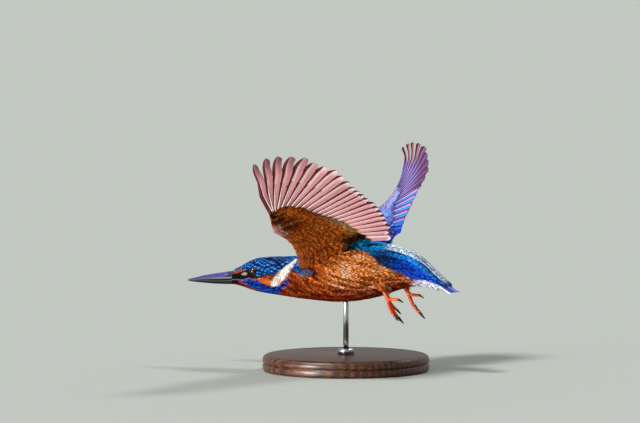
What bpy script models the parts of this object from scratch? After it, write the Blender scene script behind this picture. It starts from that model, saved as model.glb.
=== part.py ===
"""Life-size common kingfisher in level flight, wings raised, on a plain display stand.

The bird faces -X with its left side towards -Y. Lengths in the tables are millimetres, measured from
the point midway between the shoulder joints, and place() turns them into metres above the stand's foot.
"""

import math

import bmesh
import bpy
from mathutils import Vector

MM = 0.001
GAP = 0.35  # clearance between neighbouring solids
SHOULDER_HEIGHT = 58.0  # of the shoulder line above the stand's underside
ROD_X = 17.0  # the rod stands under the bird's centre of mass, behind the shoulders

# Trunk, head and tail coverts: x, top, bottom and half width of the feathered outline.
BODY = (
    (-52.0, -4.2, -12.9, 3.7),
    (-46.5, -1.8, -13.6, 6.4),
    (-40.0, 1.7, -15.4, 8.9),
    (-32.0, 3.6, -17.0, 10.5),
    (-22.0, 4.3, -18.1, 11.0),
    (-11.0, 5.0, -19.2, 11.8),
    (0.0, 8.2, -19.8, 14.0),
    (14.0, 12.0, -20.2, 15.8),
    (28.0, 13.7, -18.6, 15.3),
    (40.0, 13.5, -15.6, 13.0),
    (50.0, 11.7, -12.0, 10.6),
    (58.0, 8.9, -10.0, 8.6),
    (65.0, 4.5, -10.2, 7.2),
    (72.0, -1.8, -11.6, 6.4),
    (79.0, -7.8, -12.2, 6.0),
)
RING_POINTS = 24
RING_STEP = 3.6  # along the body
ROUNDNESS = 0.93  # below 1 a cross-section is a little squarer than an ellipse
HEAD_BACK = -19.0
NECK_BACK = -6.0
TRUNK_BACK = 45.0
RUMP_BACK = 66.0

# Bill: x, culmen, cutting edge, lower edge and half width.
BILL = (
    (-52.0, -5.1, -9.9, -12.6, 3.4),
    (-57.0, -5.8, -10.2, -12.7, 3.0),
    (-64.0, -7.0, -10.5, -12.7, 2.35),
    (-71.0, -8.4, -10.8, -12.4, 1.6),
    (-76.0, -9.7, -11.05, -12.1, 1.0),
    (-80.0, -10.7, -11.25, -11.75, 0.45),
)
BILL_POINTS = 8  # round the curved side of a mandible
MOUTH_GAP = 0.3

EYE_CENTRE = (-35.8, 7.2, -4.5)
EYE_RADIUS = 2.6

# Wing bones on the flattened wing: distance out from the shoulder, distance back from it.
SHOULDER_OUT = 11.0  # of the joint from the middle of the bird
ELBOW = Vector((20.0, 13.0))
WRIST = Vector((46.0, -3.0))
HAND_END = Vector((62.0, 0.0))
WING_SPAN = 110.0  # from shoulder to longest tip
PRIMARIES = 10
SECONDARIES = 12
CAMBER = 2.6  # drop of the hind edge at CAMBER_REACH behind CAMBER_START
CAMBER_START = 12.0
CAMBER_REACH = 50.0
VANE_THICKNESS = 0.6
TIP_ROUNDING = 0.80  # share of a feather's length where its tip starts to round off
SHAFT_RISE = 0.35  # of the middle of each vane over its edges
COVERT_GAP = 0.6  # between the coverts' hind edge and the vanes
PARTING = 0.4  # half the slit between two vanes that have come apart
VANE_ROWS = (0.0, 0.3, 0.55, 0.72, 0.84, 0.92, 0.975, 1.0)

# Angles at the shoulder, halfway out and at the tip. Lift is above the horizon, sweep is forward, twist
# turns the hind edge up. A fan runs from its feather nearest the wrist to its far one, off straight back.
# The right wing's feathers are the shorter for lying further over each other in a wing half closed.
LEFT_WING = {
    "side": -1.0,
    "shoulder_x": 0.0,
    "lift": (36.5, 28.8, 38.0),
    "sweep": (-7.0, -6.6, -6.0),
    "twist": (18.6, 26.5, 27.0),
    "primary_fan": (25.0, 88.0),
    "secondary_fan": (20.0, -16.0),
    "feather_scale": (1.0, 1.0, 1.0),  # of the outermost primary, at the wrist, of the innermost secondary
}
RIGHT_WING = {
    "side": 1.0,
    "shoulder_x": 2.4,
    "lift": (62.0, 29.3, 135.0),
    "sweep": (-14.0, -9.6, 84.0),
    "twist": (10.0, 38.3, 96.0),
    "primary_fan": (0.0, 30.0),
    "secondary_fan": (2.0, 3.7),
    "feather_scale": (0.74, 0.86, 0.78),
}

TAIL_ROOT = Vector((72.0, 0.0, -7.5))
TAIL_SLOPE = 24.0  # below the horizon
TAIL_FAN = 8.0  # of the outermost feather from the middle line
TAIL_LENGTH = 13.6
TAIL_FEATHERS = 12
TAIL_START = 8.2  # where the vanes come out from under the coverts
TAIL_HALF_WIDTH = 1.9
TAIL_ROOT_HALF = 3.8  # from the middle line to the outermost shaft where the tail starts

# The left leg: thigh, foot and toes. The right one hangs a little further back and higher.
RIGHT_LEG_SHIFT = Vector((4.2, 0.0, 1.2))
HIP = Vector((40.5, 7.4, -7.0))
ANKLE = Vector((44.4, 9.2, -12.7))
TOE_JOINT = Vector((46.7, 9.3, -16.5))
THIGH_RADII = (4.6, 3.6, 2.0)
TARSUS_RADIUS = 1.25
TOES = (
    # name, end of the toe from the toe joint, sag of its middle, radius, claw from its end
    ("middle", Vector((6.8, 0.4, -10.5)), 1.0, 1.05, Vector((3.0, 0.0, -2.7))),
    ("outer", Vector((4.9, 2.3, -9.2)), 1.0, 0.95, Vector((2.7, 0.3, -2.5))),
    ("inner", Vector((4.6, -1.9, -6.2)), 0.6, 0.9, Vector((2.3, -0.4, -2.3))),
    ("hind", Vector((6.4, 0.0, -0.2)), 0.3, 0.95, Vector((2.6, 0.0, -1.9))),
)
CLAW_TIP_RADIUS = 0.28
CLAW_STEPS = 3

BASE_RADIUS = 46.0
BASE_HEIGHT = 9.0
BASE_BEVEL = 1.6
ROD_RADIUS = 1.5
ROD_IN_BODY = 9.0
COLLAR_RADIUS = 4.5
COLLAR_HEIGHT = 3.0

MATERIALS = {
    "plumage_blue": ((0.02, 0.12, 0.42), 0.5, 0.0),
    "plumage_rufous": ((0.50, 0.14, 0.02), 0.7, 0.0),
    "flight_feather": ((0.42, 0.24, 0.28), 0.55, 0.0),
    "bill": ((0.03, 0.03, 0.06), 0.35, 0.0),
    "eye": ((0.01, 0.006, 0.005), 0.08, 0.0),
    "foot": ((0.62, 0.05, 0.01), 0.45, 0.0),
    "claw": ((0.02, 0.015, 0.012), 0.3, 0.0),
    "stand_wood": ((0.16, 0.08, 0.04), 0.4, 0.0),
    "stand_steel": ((0.6, 0.6, 0.6), 0.3, 1.0),
}


def clear_scene():
    for obj in list(bpy.data.objects):
        bpy.data.objects.remove(obj)


def collection(name):
    made = bpy.data.collections.new(name)
    bpy.context.scene.collection.children.link(made)
    return made


def material(name):
    found = bpy.data.materials.get(name)
    if found:
        return found
    colour, roughness, metallic = MATERIALS[name]
    made = bpy.data.materials.new(name)
    made.use_nodes = True
    shader = made.node_tree.nodes["Principled BSDF"]
    shader.inputs["Base Color"].default_value = (*colour, 1.0)
    shader.inputs["Roughness"].default_value = roughness
    shader.inputs["Metallic"].default_value = metallic
    return made


def place(point):
    """A point of the tables, in millimetres from the shoulder line, as metres in the part's frame."""
    x, y, z = point
    return Vector((x - ROD_X, y, z + SHOULDER_HEIGHT)) * MM


def add_object(name, mesh, finish, group):
    obj = bpy.data.objects.new(name, mesh)
    group.objects.link(obj)
    mesh.materials.append(material(finish))
    mesh.shade_smooth()
    mesh.set_sharp_from_angle(angle=math.radians(50))
    return obj


def mesh_from(bm, name):
    bmesh.ops.recalc_face_normals(bm, faces=bm.faces)
    mesh = bpy.data.meshes.new(name)
    bm.to_mesh(mesh)
    bm.free()
    return mesh


def loft(name, rings):
    """A closed solid through rings of equally many points, with flat ends."""
    bm = bmesh.new()
    loops = [[bm.verts.new(point) for point in ring] for ring in rings]
    count = len(loops[0])
    for first, second in zip(loops, loops[1:]):
        for k in range(count):
            after = (k + 1) % count
            bm.faces.new((first[k], first[after], second[after], second[k]))
    bm.faces.new(loops[0])
    bm.faces.new(loops[-1])
    return mesh_from(bm, name)


def make_helper(obj):
    obj.hide_render = True
    obj.display_type = "WIRE"
    return obj


def boolean(obj, other, operation):
    modifier = obj.modifiers.new(operation.lower(), "BOOLEAN")
    modifier.operation = operation
    modifier.solver = "EXACT"
    modifier.use_self = operation == "UNION"
    modifier.object = make_helper(other)


def along(table, x):
    """The table's columns at x, on a smooth curve through its rows."""
    rows = sorted(table)
    k = max(1, min(len(rows) - 1, sum(row[0] < x for row in rows)))
    low, high = rows[k - 1], rows[k]
    before, after = rows[max(0, k - 2)], rows[min(len(rows) - 1, k + 1)]
    width = high[0] - low[0]
    t = min(1.0, max(0.0, (x - low[0]) / width))
    values = []
    for c in range(1, len(low)):
        slope_low = (high[c] - before[c]) / (high[0] - before[0]) * width
        slope_high = (after[c] - low[c]) / (after[0] - low[0]) * width
        values.append(
            (2 * t**3 - 3 * t**2 + 1) * low[c]
            + (t**3 - 2 * t**2 + t) * slope_low
            + (3 * t**2 - 2 * t**3) * high[c]
            + (t**3 - t**2) * slope_high
        )
    return values


def body_ring(x, grow=0.0):
    top, bottom, half_width = along(BODY, x)
    middle, half_height = (top + bottom) / 2, (top - bottom) / 2 + grow
    ring = []
    for k in range(RING_POINTS):
        angle = 2 * math.pi * k / RING_POINTS
        side, rise = math.cos(angle), math.sin(angle)
        y = (half_width + grow) * math.copysign(abs(side) ** ROUNDNESS, side)
        z = middle + half_height * math.copysign(abs(rise) ** ROUNDNESS, rise)
        ring.append(place((x, y, z)))
    return ring


def body_length(start, end, grow=0.0):
    """Rings from start to end, about RING_STEP apart."""
    steps = max(2, round((end - start) / RING_STEP))
    return [body_ring(start + (end - start) * k / steps, grow) for k in range(steps + 1)]


def make_body(parts, helpers):
    """Head, neck, trunk, rump and tail coverts: one outline, parted with thin cuts."""
    half = GAP / 2
    lengths = (
        ("head", BODY[0][0], HEAD_BACK - half, "plumage_blue"),
        ("neck", HEAD_BACK + half, NECK_BACK - half, "plumage_rufous"),
        ("trunk", NECK_BACK + half, TRUNK_BACK - half, "plumage_rufous"),
        ("rump", TRUNK_BACK + half, RUMP_BACK - half, "plumage_blue"),
        ("tail_coverts", RUMP_BACK + half, BODY[-1][0], "plumage_blue"),
    )
    made = {}
    for name, start, end, finish in lengths:
        made[name] = add_object(name, loft(name, body_length(start, end)), finish, parts)
    for side in (-1, 1):
        boolean(made["head"], make_ball(f"socket_{side}", side, EYE_RADIUS + GAP, helpers), "DIFFERENCE")
    socket = make_cylinder("rod_socket", ROD_RADIUS + GAP, rod_top() + GAP, helpers)
    boolean(made["trunk"], socket, "DIFFERENCE")
    return made


def body_cutter(name, helpers):
    """The body outline grown by the gap, to trim what grows out of it."""
    rings = body_length(BODY[3][0], BODY[-3][0], GAP)
    return add_object(name, loft(name, rings), "plumage_blue", helpers)


def make_ball(name, side, radius, group, finish="eye"):
    bm = bmesh.new()
    bmesh.ops.create_uvsphere(bm, u_segments=14, v_segments=8, radius=radius * MM)
    x, y, z = EYE_CENTRE
    bmesh.ops.translate(bm, verts=bm.verts, vec=place((x, side * y, z)))
    return add_object(name, mesh_from(bm, name), finish, group)


def make_bill(parts):
    """Upper and lower mandible, closed, each flat along the cutting edge."""
    first, last = BILL[0][0] - GAP, BILL[-1][0]
    steps = 9
    for name, upper in (("bill_upper", True), ("bill_lower", False)):
        rings = []
        for k in range(steps + 1):
            x = first + (last - first) * k / steps
            culmen, edge, lower, half_width = along(BILL, x)
            flat = edge + (MOUTH_GAP / 2 if upper else -MOUTH_GAP / 2)
            rise = culmen - flat if upper else lower - flat
            ring = []
            for j in range(BILL_POINTS + 1):
                angle = math.pi * j / BILL_POINTS
                y = half_width * math.copysign(abs(math.cos(angle)) ** 0.8, math.cos(angle))
                ring.append(place((x, y, flat + rise * math.sin(angle))))
            rings.append(ring)
        add_object(name, loft(name, rings), "bill", parts)


def mix(pair, t):
    return pair[0] + (pair[1] - pair[0]) * t


def bend(triple, share):
    """An angle of the wing in radians, on a parabola through its three given values."""
    start, middle, end = triple
    bulge = middle - (start + end) / 2
    return math.radians(start + (end - start) * share + bulge * 4 * share * (1 - share))


def wing_place(wing, span, chord, height=0.0):
    """A point of the flattened wing, out along the span and back along the chord, on the raised wing."""
    outward = Vector((0.0, wing["side"], 0.0))
    forward, up = Vector((-1.0, 0.0, 0.0)), Vector((0.0, 0.0, 1.0))

    def direction(distance):
        lift = bend(wing["lift"], distance / WING_SPAN)
        sweep = bend(wing["sweep"], distance / WING_SPAN)
        level = outward * math.cos(sweep) + forward * math.sin(sweep)
        return level * math.cos(lift) + up * math.sin(lift)

    steps = 12
    point = outward * SHOULDER_OUT - forward * wing["shoulder_x"]
    for k in range(steps):
        point = point + direction((k + 0.5) * span / steps) * (span / steps)
    along_span = direction(span)
    back = -(forward - along_span * forward.dot(along_span)).normalized()
    above = back.cross(along_span) * wing["side"]
    twist = bend(wing["twist"], span / WING_SPAN)
    turned_back = back * math.cos(twist) + above * math.sin(twist)
    turned_up = above * math.cos(twist) - back * math.sin(twist)
    drop = CAMBER * (max(0.0, chord - CAMBER_START) / CAMBER_REACH) ** 2
    return place(point + turned_back * chord + turned_up * (height - drop))


def flight_feathers(wing):
    """Each flight feather from the outermost primary to the innermost secondary, on the flattened wing."""
    outer_scale, wrist_scale, inner_scale = wing["feather_scale"]
    feathers = []
    for k in range(PRIMARIES, 0, -1):
        t = (k - 1) / (PRIMARIES - 1)
        peak = 0.78  # the longest primary's place in the fan
        length = mix((51.0, 60.0), math.sin(min(t / peak, 1.0) * math.pi / 2))
        length -= 6.5 * max(0.0, t - peak) / (1 - peak)
        feathers.append(
            {
                "name": f"primary_{k}",
                "root": WRIST.lerp(HAND_END, (k - 0.5) / (PRIMARIES - 0.5)),
                "angle": math.radians(mix(wing["primary_fan"], t)),
                "length": length * mix((wrist_scale, outer_scale), t),
                "half_width": mix((5.4, 4.6), t),
                "emargination": 0.5 * max(0.0, (t - 0.45) / 0.55),  # narrowing of the outer finger
                "covered": mix((18.0, 7.0), t**1.3),
            }
        )
    for k in range(1, SECONDARIES + 1):
        t = (k - 1) / (SECONDARIES - 1)
        feathers.append(
            {
                "name": f"secondary_{k}",
                "root": WRIST.lerp(ELBOW, k / SECONDARIES),
                "angle": math.radians(mix(wing["secondary_fan"], t)),
                "length": mix((49.5, 39.5), t) * mix((wrist_scale, inner_scale), t),
                "half_width": mix((5.0, 4.6), t),
                "emargination": 0.0,
                "covered": mix((18.0, 24.0), t),
            }
        )
    return feathers


def shaft_point(feather, share):
    """On the flattened wing, at this share of the visible vane, from the coverts to the tip."""
    distance = mix((feather["covered"], feather["length"]), share)
    heading = Vector((math.sin(feather["angle"]), math.cos(feather["angle"])))
    return feather["root"] + heading * distance


def across(feather):
    """The way from a feather's shaft to the next one inwards, on the flattened wing."""
    return Vector((-math.cos(feather["angle"]), math.sin(feather["angle"])))


def vane_half_width(feather, share):
    half = feather["half_width"]
    narrowed = min(1.0, max(0.0, (share - 0.35) / 0.3))
    half *= 1.0 - feather["emargination"] * narrowed
    if share > TIP_ROUNDING:
        past = (share - TIP_ROUNDING) / (1 - TIP_ROUNDING)
        half *= math.sqrt(max(0.0, 1 - past**2.2))
    return max(half, 0.35)


def vane_strips(feathers, locate, half_width, across, beyond):
    """An open sheet of neighbouring vanes, joined where they overlap and free where they part.

    locate(feather, share) gives a shaft's point and across(feather) the way to the next feather.
    beyond holds the feather of another sheet next to the last (1) or the first (-1), which stays clear.
    Each vert is a flat point with its height over the sheet in z.
    """
    bm = bmesh.new()
    verts = {}

    def vert(key, flat, height):
        if key not in verts:
            verts[key] = bm.verts.new((flat.x, flat.y, height))
        return verts[key]

    def meets(feather, other, row):
        """Whether two neighbours still overlap in every row as far as this one."""
        for share in VANE_ROWS[: row + 1]:
            reach = (locate(other, share) - locate(feather, share)).length / 2
            if min(half_width(feather, share), half_width(other, share)) < reach:
                return False
        return True

    def edge(k, row, side):
        """The vane's edge towards the next feather (side 1) or the previous one (side -1)."""
        share, feather = VANE_ROWS[row], feathers[k]
        middle, half = locate(feather, share), half_width(feather, share)
        inside = 0 <= k + side < len(feathers)
        other = feathers[k + side] if inside else beyond.get(side)
        if other:
            neighbour = locate(other, share)
            if inside and meets(feather, other, row):
                return vert(("joint", min(k, k + side), row), (middle + neighbour) / 2, 0.0)
            half = min(half, max((neighbour - middle).length / 2 - PARTING, 0.35))
        return vert((k, row, side), middle + across(feather) * side * half, 0.0)

    for k, feather in enumerate(feathers):
        for row in range(len(VANE_ROWS) - 1):
            corners = []
            for r in (row, row + 1):
                middle = vert((k, r, 0), locate(feather, VANE_ROWS[r]), SHAFT_RISE)
                corners.append((edge(k, r, -1), middle, edge(k, r, 1)))
            for c in (0, 1):
                bm.faces.new((corners[0][c], corners[0][c + 1], corners[1][c + 1], corners[1][c]))
    return bm


def solid_sheet(name, bm, finish, group, thickness=VANE_THICKNESS):
    obj = add_object(name, mesh_from(bm, name), finish, group)
    shell = obj.modifiers.new("thickness", "SOLIDIFY")
    shell.thickness = thickness * MM
    shell.offset = 0.0
    shell.use_even_offset = False
    return obj


def make_vanes(wing, label, parts):
    """The fan of primaries and the row of secondaries, each one sheet with parted tips."""
    feathers = flight_feathers(wing)
    last_primary, first_secondary = feathers[PRIMARIES - 1], feathers[PRIMARIES]
    groups = (
        ("primaries", feathers[:PRIMARIES], {1: first_secondary}),
        ("secondaries", feathers[PRIMARIES:], {-1: last_primary}),
    )
    for kind, group, beyond in groups:
        bm = vane_strips(group, shaft_point, vane_half_width, across, beyond)
        for vert in bm.verts:
            vert.co = wing_place(wing, vert.co.x, vert.co.y, vert.co.z)
        solid_sheet(f"wing_{label}_{kind}", bm, "flight_feather", parts)


def section_ring(wing, front, back, thickness):
    """A cross-section of the fleshy wing: blunt in front, thin at the coverts' hind edge."""
    chordwise = (0.0, 0.06, 0.18, 0.38, 0.62, 0.84, 1.0)
    depth = (0.0, 0.52, 0.9, 1.0, 0.72, 0.42, 0.24)
    upper = [(front.lerp(back, c), d * thickness / 2) for c, d in zip(chordwise, depth)]
    lower = [(flat, -height) for flat, height in reversed(upper[1:])]
    return [wing_place(wing, flat.x, flat.y, height) for flat, height in upper + lower]


def make_fleshy_wing(wing, label, parts, helpers):
    """Arm and hand with their coverts, in two lengths parted at the wrist."""
    feathers = flight_feathers(wing)
    primaries, secondaries = feathers[:PRIMARIES][::-1], feathers[PRIMARIES:][::-1]

    def hind_edge(feather):
        heading = Vector((math.sin(feather["angle"]), math.cos(feather["angle"])))
        return feather["root"] + heading * (feather["covered"] - COVERT_GAP)

    wrist_front = WRIST + Vector((0.0, -6.0))
    outermost, half = primaries[-1], GAP / 2
    tip_front = hind_edge(outermost) - across(outermost) * outermost["half_width"]
    parting = (hind_edge(secondaries[-1]) + hind_edge(primaries[0])) / 2
    arm = [
        (Vector((-3.0, -7.0)), Vector((-3.0, 28.5)), 8.0),
        (Vector((6.0, -6.0)), Vector((4.0, 30.5)), 7.6),
    ]
    for k, feather in enumerate(secondaries):
        t = k / (SECONDARIES - 0.5)
        bow = 2.6 * math.sin(math.pi * t)  # the skin's front edge is hollow between shoulder and wrist
        front = Vector((mix((13.0, wrist_front.x - 0.4), t), mix((-4.6, wrist_front.y), t) + bow))
        arm.append((front, hind_edge(feather), mix((6.8, 4.6), t)))
    inset = Vector((half, 0.0))
    arm.append((wrist_front - inset, parting - inset, 4.5))
    hand = [(wrist_front + inset, parting + inset, 4.5)]
    for k, feather in enumerate(primaries):
        t = (k + 0.5) / (PRIMARIES - 0.5)
        front = wrist_front.lerp(tip_front, t)
        hand.append((front, hind_edge(feather), mix((4.4, 1.6), t)))
    for kind, sections in (("arm", arm), ("hand", hand)):
        name = f"wing_{label}_{kind}"
        rings = [section_ring(wing, *section) for section in sections]
        obj = add_object(name, loft(name, rings), "plumage_rufous", parts)
        if kind == "arm":
            boolean(obj, body_cutter(f"trim_{label}", helpers), "DIFFERENCE")


def make_tail(parts):
    """Twelve tail feathers, nearly closed, in one sheet arched over the middle."""
    slope = math.radians(TAIL_SLOPE)
    feathers = []
    for k in range(TAIL_FEATHERS):
        t = 2 * k / (TAIL_FEATHERS - 1) - 1
        feathers.append({"turn": math.radians(TAIL_FAN * t), "length": TAIL_LENGTH - 1.6 * t * t, "t": t})

    def locate(feather, share):
        distance = mix((TAIL_START, feather["length"]), share)
        side = feather["t"] * TAIL_ROOT_HALF
        return Vector((distance, side + distance * math.sin(feather["turn"])))

    def half_width(feather, share):
        half = TAIL_HALF_WIDTH
        if share > TIP_ROUNDING:
            half *= math.sqrt(max(0.0, 1 - ((share - TIP_ROUNDING) / (1 - TIP_ROUNDING)) ** 2.2))
        return max(half, 0.35)

    bm = vane_strips(feathers, locate, half_width, lambda feather: Vector((0.0, 1.0)), {})
    back = Vector((math.cos(slope), 0.0, -math.sin(slope)))
    above = Vector((math.sin(slope), 0.0, math.cos(slope)))
    for vert in bm.verts:
        distance, side, height = vert.co
        arch = 0.9 - 0.022 * side * side
        vert.co = place(TAIL_ROOT + back * distance + Vector((0, side, 0)) + above * (height + arch))
    solid_sheet("tail", bm, "plumage_blue", parts)


def tube(name, points, radii, finish, group, resolution=2):
    """A tapering round bar through the points, as a mesh."""
    curve = bpy.data.curves.new(name, "CURVE")
    curve.dimensions = "3D"
    curve.bevel_depth = MM
    curve.bevel_resolution = resolution
    curve.use_fill_caps = True
    spline = curve.splines.new("POLY")
    spline.points.add(len(points) - 1)
    for target, point, radius in zip(spline.points, points, radii):
        target.co = (*point, 1.0)
        target.radius = radius
    guide = bpy.data.objects.new(name + "_guide", curve)
    group.objects.link(guide)
    bpy.context.view_layer.update()
    evaluated = guide.evaluated_get(bpy.context.evaluated_depsgraph_get())
    mesh = bpy.data.meshes.new_from_object(evaluated)
    bpy.data.objects.remove(guide)
    bm = bmesh.new()
    bm.from_mesh(mesh)
    bmesh.ops.remove_doubles(bm, verts=bm.verts, dist=0.00001)
    return add_object(name, mesh_from(bm, name), finish, group)


def bow(start, end, sag, steps, bend=Vector((-0.85, 0.0, -0.5))):
    """Points from start to end on a shallow arc that leans towards bend."""
    points = []
    for k in range(steps + 1):
        t = k / steps
        points.append(start.lerp(end, t) + bend * sag * 4 * t * (1 - t))
    return points


def make_leg(side, label, parts, helpers):
    """Feathered thigh, foot with three front toes and a hind one, and a claw on each toe."""
    shift = RIGHT_LEG_SHIFT if side > 0 else Vector((0.0, 0.0, 0.0))

    def at(point):
        return place((point.x + shift.x, side * point.y, point.z + shift.z))

    thigh_end = ANKLE - (TOE_JOINT - ANKLE).normalized() * GAP
    thigh_points = [at(HIP), at(HIP.lerp(thigh_end, 0.55)), at(thigh_end)]
    thigh = tube(f"thigh_{label}", thigh_points, THIGH_RADII, "plumage_rufous", parts, 3)
    boolean(thigh, body_cutter(f"trim_thigh_{label}", helpers), "DIFFERENCE")

    foot_points = [at(ANKLE), at(ANKLE.lerp(TOE_JOINT, 0.5)), at(TOE_JOINT + Vector((0.5, 0.0, -0.7)))]
    foot_radii = (TARSUS_RADIUS, TARSUS_RADIUS * 0.92, TARSUS_RADIUS * 1.15)
    foot = tube(f"foot_{label}", foot_points, foot_radii, "foot", parts)
    for name, reach, sag, radius, claw in TOES:
        end = TOE_JOINT + reach
        points = [at(point) for point in bow(TOE_JOINT, end, sag, 4)]
        radii = [radius * (1.0 - 0.22 * k / 4) for k in range(5)]
        toe = tube(f"toe_{label}_{name}", points, radii, "foot", helpers)
        boolean(foot, toe, "UNION")
        heading = reach.normalized()
        start = end + heading * GAP
        claw_points = []
        claw_radii = []
        for k in range(CLAW_STEPS + 1):
            t = k / CLAW_STEPS
            ahead = heading * claw.length * 0.75 * t * (1 - t)
            claw_points.append(at(start + claw * t + ahead))
            claw_radii.append(mix((radius * 0.72, CLAW_TIP_RADIUS), t))
        tube(f"claw_{label}_{name}", claw_points, claw_radii, "claw", parts, 1)


def rod_top():
    _, bottom, _ = along(BODY, ROD_X)
    return bottom + ROD_IN_BODY + SHOULDER_HEIGHT


def make_cylinder(name, radius, top, group, bottom=BASE_HEIGHT + GAP, finish="stand_steel"):
    bm = bmesh.new()
    bmesh.ops.create_cone(
        bm,
        cap_ends=True,
        segments=20,
        radius1=radius * MM,
        radius2=radius * MM,
        depth=(top - bottom) * MM,
    )
    bmesh.ops.translate(bm, verts=bm.verts, vec=Vector((0.0, 0.0, (top + bottom) / 2 * MM)))
    return add_object(name, mesh_from(bm, name), finish, group)


def make_stand(parts, helpers):
    """A turned wooden disc, a steel collar on it and one steel rod up into the breast."""
    bm = bmesh.new()
    bmesh.ops.create_cone(
        bm,
        cap_ends=True,
        segments=48,
        radius1=BASE_RADIUS * MM,
        radius2=BASE_RADIUS * MM,
        depth=BASE_HEIGHT * MM,
    )
    bmesh.ops.translate(bm, verts=bm.verts, vec=Vector((0.0, 0.0, BASE_HEIGHT / 2 * MM)))
    base = add_object("stand_base", mesh_from(bm, "stand_base"), "stand_wood", parts)
    rounding = base.modifiers.new("rounding", "BEVEL")
    rounding.width = BASE_BEVEL * MM
    rounding.segments = 2
    rounding.limit_method = "ANGLE"
    make_cylinder("stand_rod", ROD_RADIUS, rod_top(), parts)
    collar = make_cylinder("stand_collar", COLLAR_RADIUS, BASE_HEIGHT + GAP + COLLAR_HEIGHT, parts)
    bore = make_cylinder("collar_bore", ROD_RADIUS + GAP, BASE_HEIGHT + COLLAR_HEIGHT * 2, helpers, 0.0)
    boolean(collar, bore, "DIFFERENCE")


def main():
    clear_scene()
    parts = collection("kingfisher")
    helpers = collection("cutters")
    make_body(parts, helpers)
    make_bill(parts)
    for side, label in ((-1, "left"), (1, "right")):
        make_ball(f"eye_{label}", side, EYE_RADIUS, parts)
        make_leg(side, label, parts, helpers)
    for wing, label in ((LEFT_WING, "left"), (RIGHT_WING, "right")):
        make_fleshy_wing(wing, label, parts, helpers)
        make_vanes(wing, label, parts)
    make_tail(parts)
    make_stand(parts, helpers)


main()
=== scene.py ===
"""Looks of the kingfisher in flight: stand, skin, plumage, bill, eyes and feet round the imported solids."""

import math
from functools import lru_cache

import bmesh
import bpy
import numpy as np
from mathutils import Matrix, Vector
from mathutils.bvhtree import BVHTree
from mathutils.kdtree import KDTree


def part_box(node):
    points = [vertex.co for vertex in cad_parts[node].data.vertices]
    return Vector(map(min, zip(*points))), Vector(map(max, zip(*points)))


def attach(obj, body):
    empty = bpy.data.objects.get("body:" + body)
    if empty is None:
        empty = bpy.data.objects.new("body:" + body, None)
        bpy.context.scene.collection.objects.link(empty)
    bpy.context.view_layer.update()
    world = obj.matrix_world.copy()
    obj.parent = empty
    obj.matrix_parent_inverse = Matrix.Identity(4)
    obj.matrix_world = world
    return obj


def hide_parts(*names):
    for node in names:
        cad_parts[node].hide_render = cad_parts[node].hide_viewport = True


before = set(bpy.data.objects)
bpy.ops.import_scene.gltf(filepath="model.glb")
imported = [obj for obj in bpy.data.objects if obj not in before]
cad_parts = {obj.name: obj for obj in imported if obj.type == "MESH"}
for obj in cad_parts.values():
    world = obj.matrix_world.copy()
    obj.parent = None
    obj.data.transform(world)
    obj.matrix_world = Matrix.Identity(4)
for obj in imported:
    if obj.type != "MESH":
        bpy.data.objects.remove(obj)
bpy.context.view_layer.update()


# Base of the display stand: a disc of American walnut, turned on a lathe with a shallow groove round
# its edge, oiled and waxed to a soft gloss. The growth rings run across it as long dark arcs.
MM = 0.001


@lru_cache(None)
def linear(colour):
    """An sRGB hex colour as linear red, green and blue."""
    channels = [int(colour[k : k + 2], 16) / 255 for k in (1, 3, 5)]
    return np.array([c / 12.92 if c <= 0.04045 else ((c + 0.055) / 1.055) ** 2.4 for c in channels])


def add_node(tree, kind, settings=None, links=None, stops=()):
    """A shader node with its settings, each a property or an input, its links, each an input and its source,
    and, on a colour ramp, its stops, each a place and a hex colour."""
    made = tree.nodes.new("ShaderNode" + kind)
    for name, value in (settings or {}).items():
        if isinstance(name, str) and hasattr(made, name):
            setattr(made, name, value)
        else:
            made.inputs[name].default_value = value
    for name, source in (links or {}).items():
        tree.links.new(source, made.inputs[name])
    for k, (where, colour) in enumerate(stops):
        made.color_ramp.elements[k].position = where
        made.color_ramp.elements[k].color = (*linear(colour), 1.0)
    return made


def new_material(name, settings):
    """A material of that name, with its shader's own sockets set, and its node tree."""
    made = bpy.data.materials.new(name)
    made.use_nodes = True
    for socket, value in settings.items():
        made.node_tree.nodes["Principled BSDF"].inputs[socket].default_value = value
    return made, made.node_tree


def patterned(made, grain, shades, relief=None, tint=None, share=1.0):
    """Draws a grain in shades on a material, multiplied by a share into its tint where it has one, a socket
    or the name of a painted layer. relief is the strength and the height of the grain's bumps."""
    tree = made.node_tree
    shader = tree.nodes["Principled BSDF"]
    colour = add_node(tree, "ValToRGB", None, {"Fac": grain}, shades).outputs["Color"]
    if isinstance(tint, str):
        tint = add_node(tree, "VertexColor", {"layer_name": tint}).outputs["Color"]
    if tint is not None:
        settings = {"data_type": "RGBA", "blend_type": "MULTIPLY", 0: share}
        colour = add_node(tree, "Mix", settings, {6: tint, 7: colour}).outputs[2]
    tree.links.new(colour, shader.inputs["Base Color"])
    if relief:
        settings = {"Strength": relief[0], "Distance": relief[1]}
        bump = add_node(tree, "Bump", settings, {"Height": grain})
        tree.links.new(bump.outputs["Normal"], shader.inputs["Normal"])
    return made


def finish_piece(name, mesh, material, slot, *replaced):
    """Hangs a finished mesh on the bird as a piece that stands for those solids."""
    if isinstance(mesh, bmesh.types.BMesh):
        source, mesh = mesh, bpy.data.meshes.new(name)
        source.to_mesh(mesh)
        source.free()
        mesh.shade_smooth()
    piece = bpy.data.objects.new(name, mesh)
    bpy.context.scene.collection.objects.link(piece)
    mesh.materials.clear()
    mesh.materials.append(material)
    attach(piece, "root")
    if replaced:
        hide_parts(*replaced)


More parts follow.
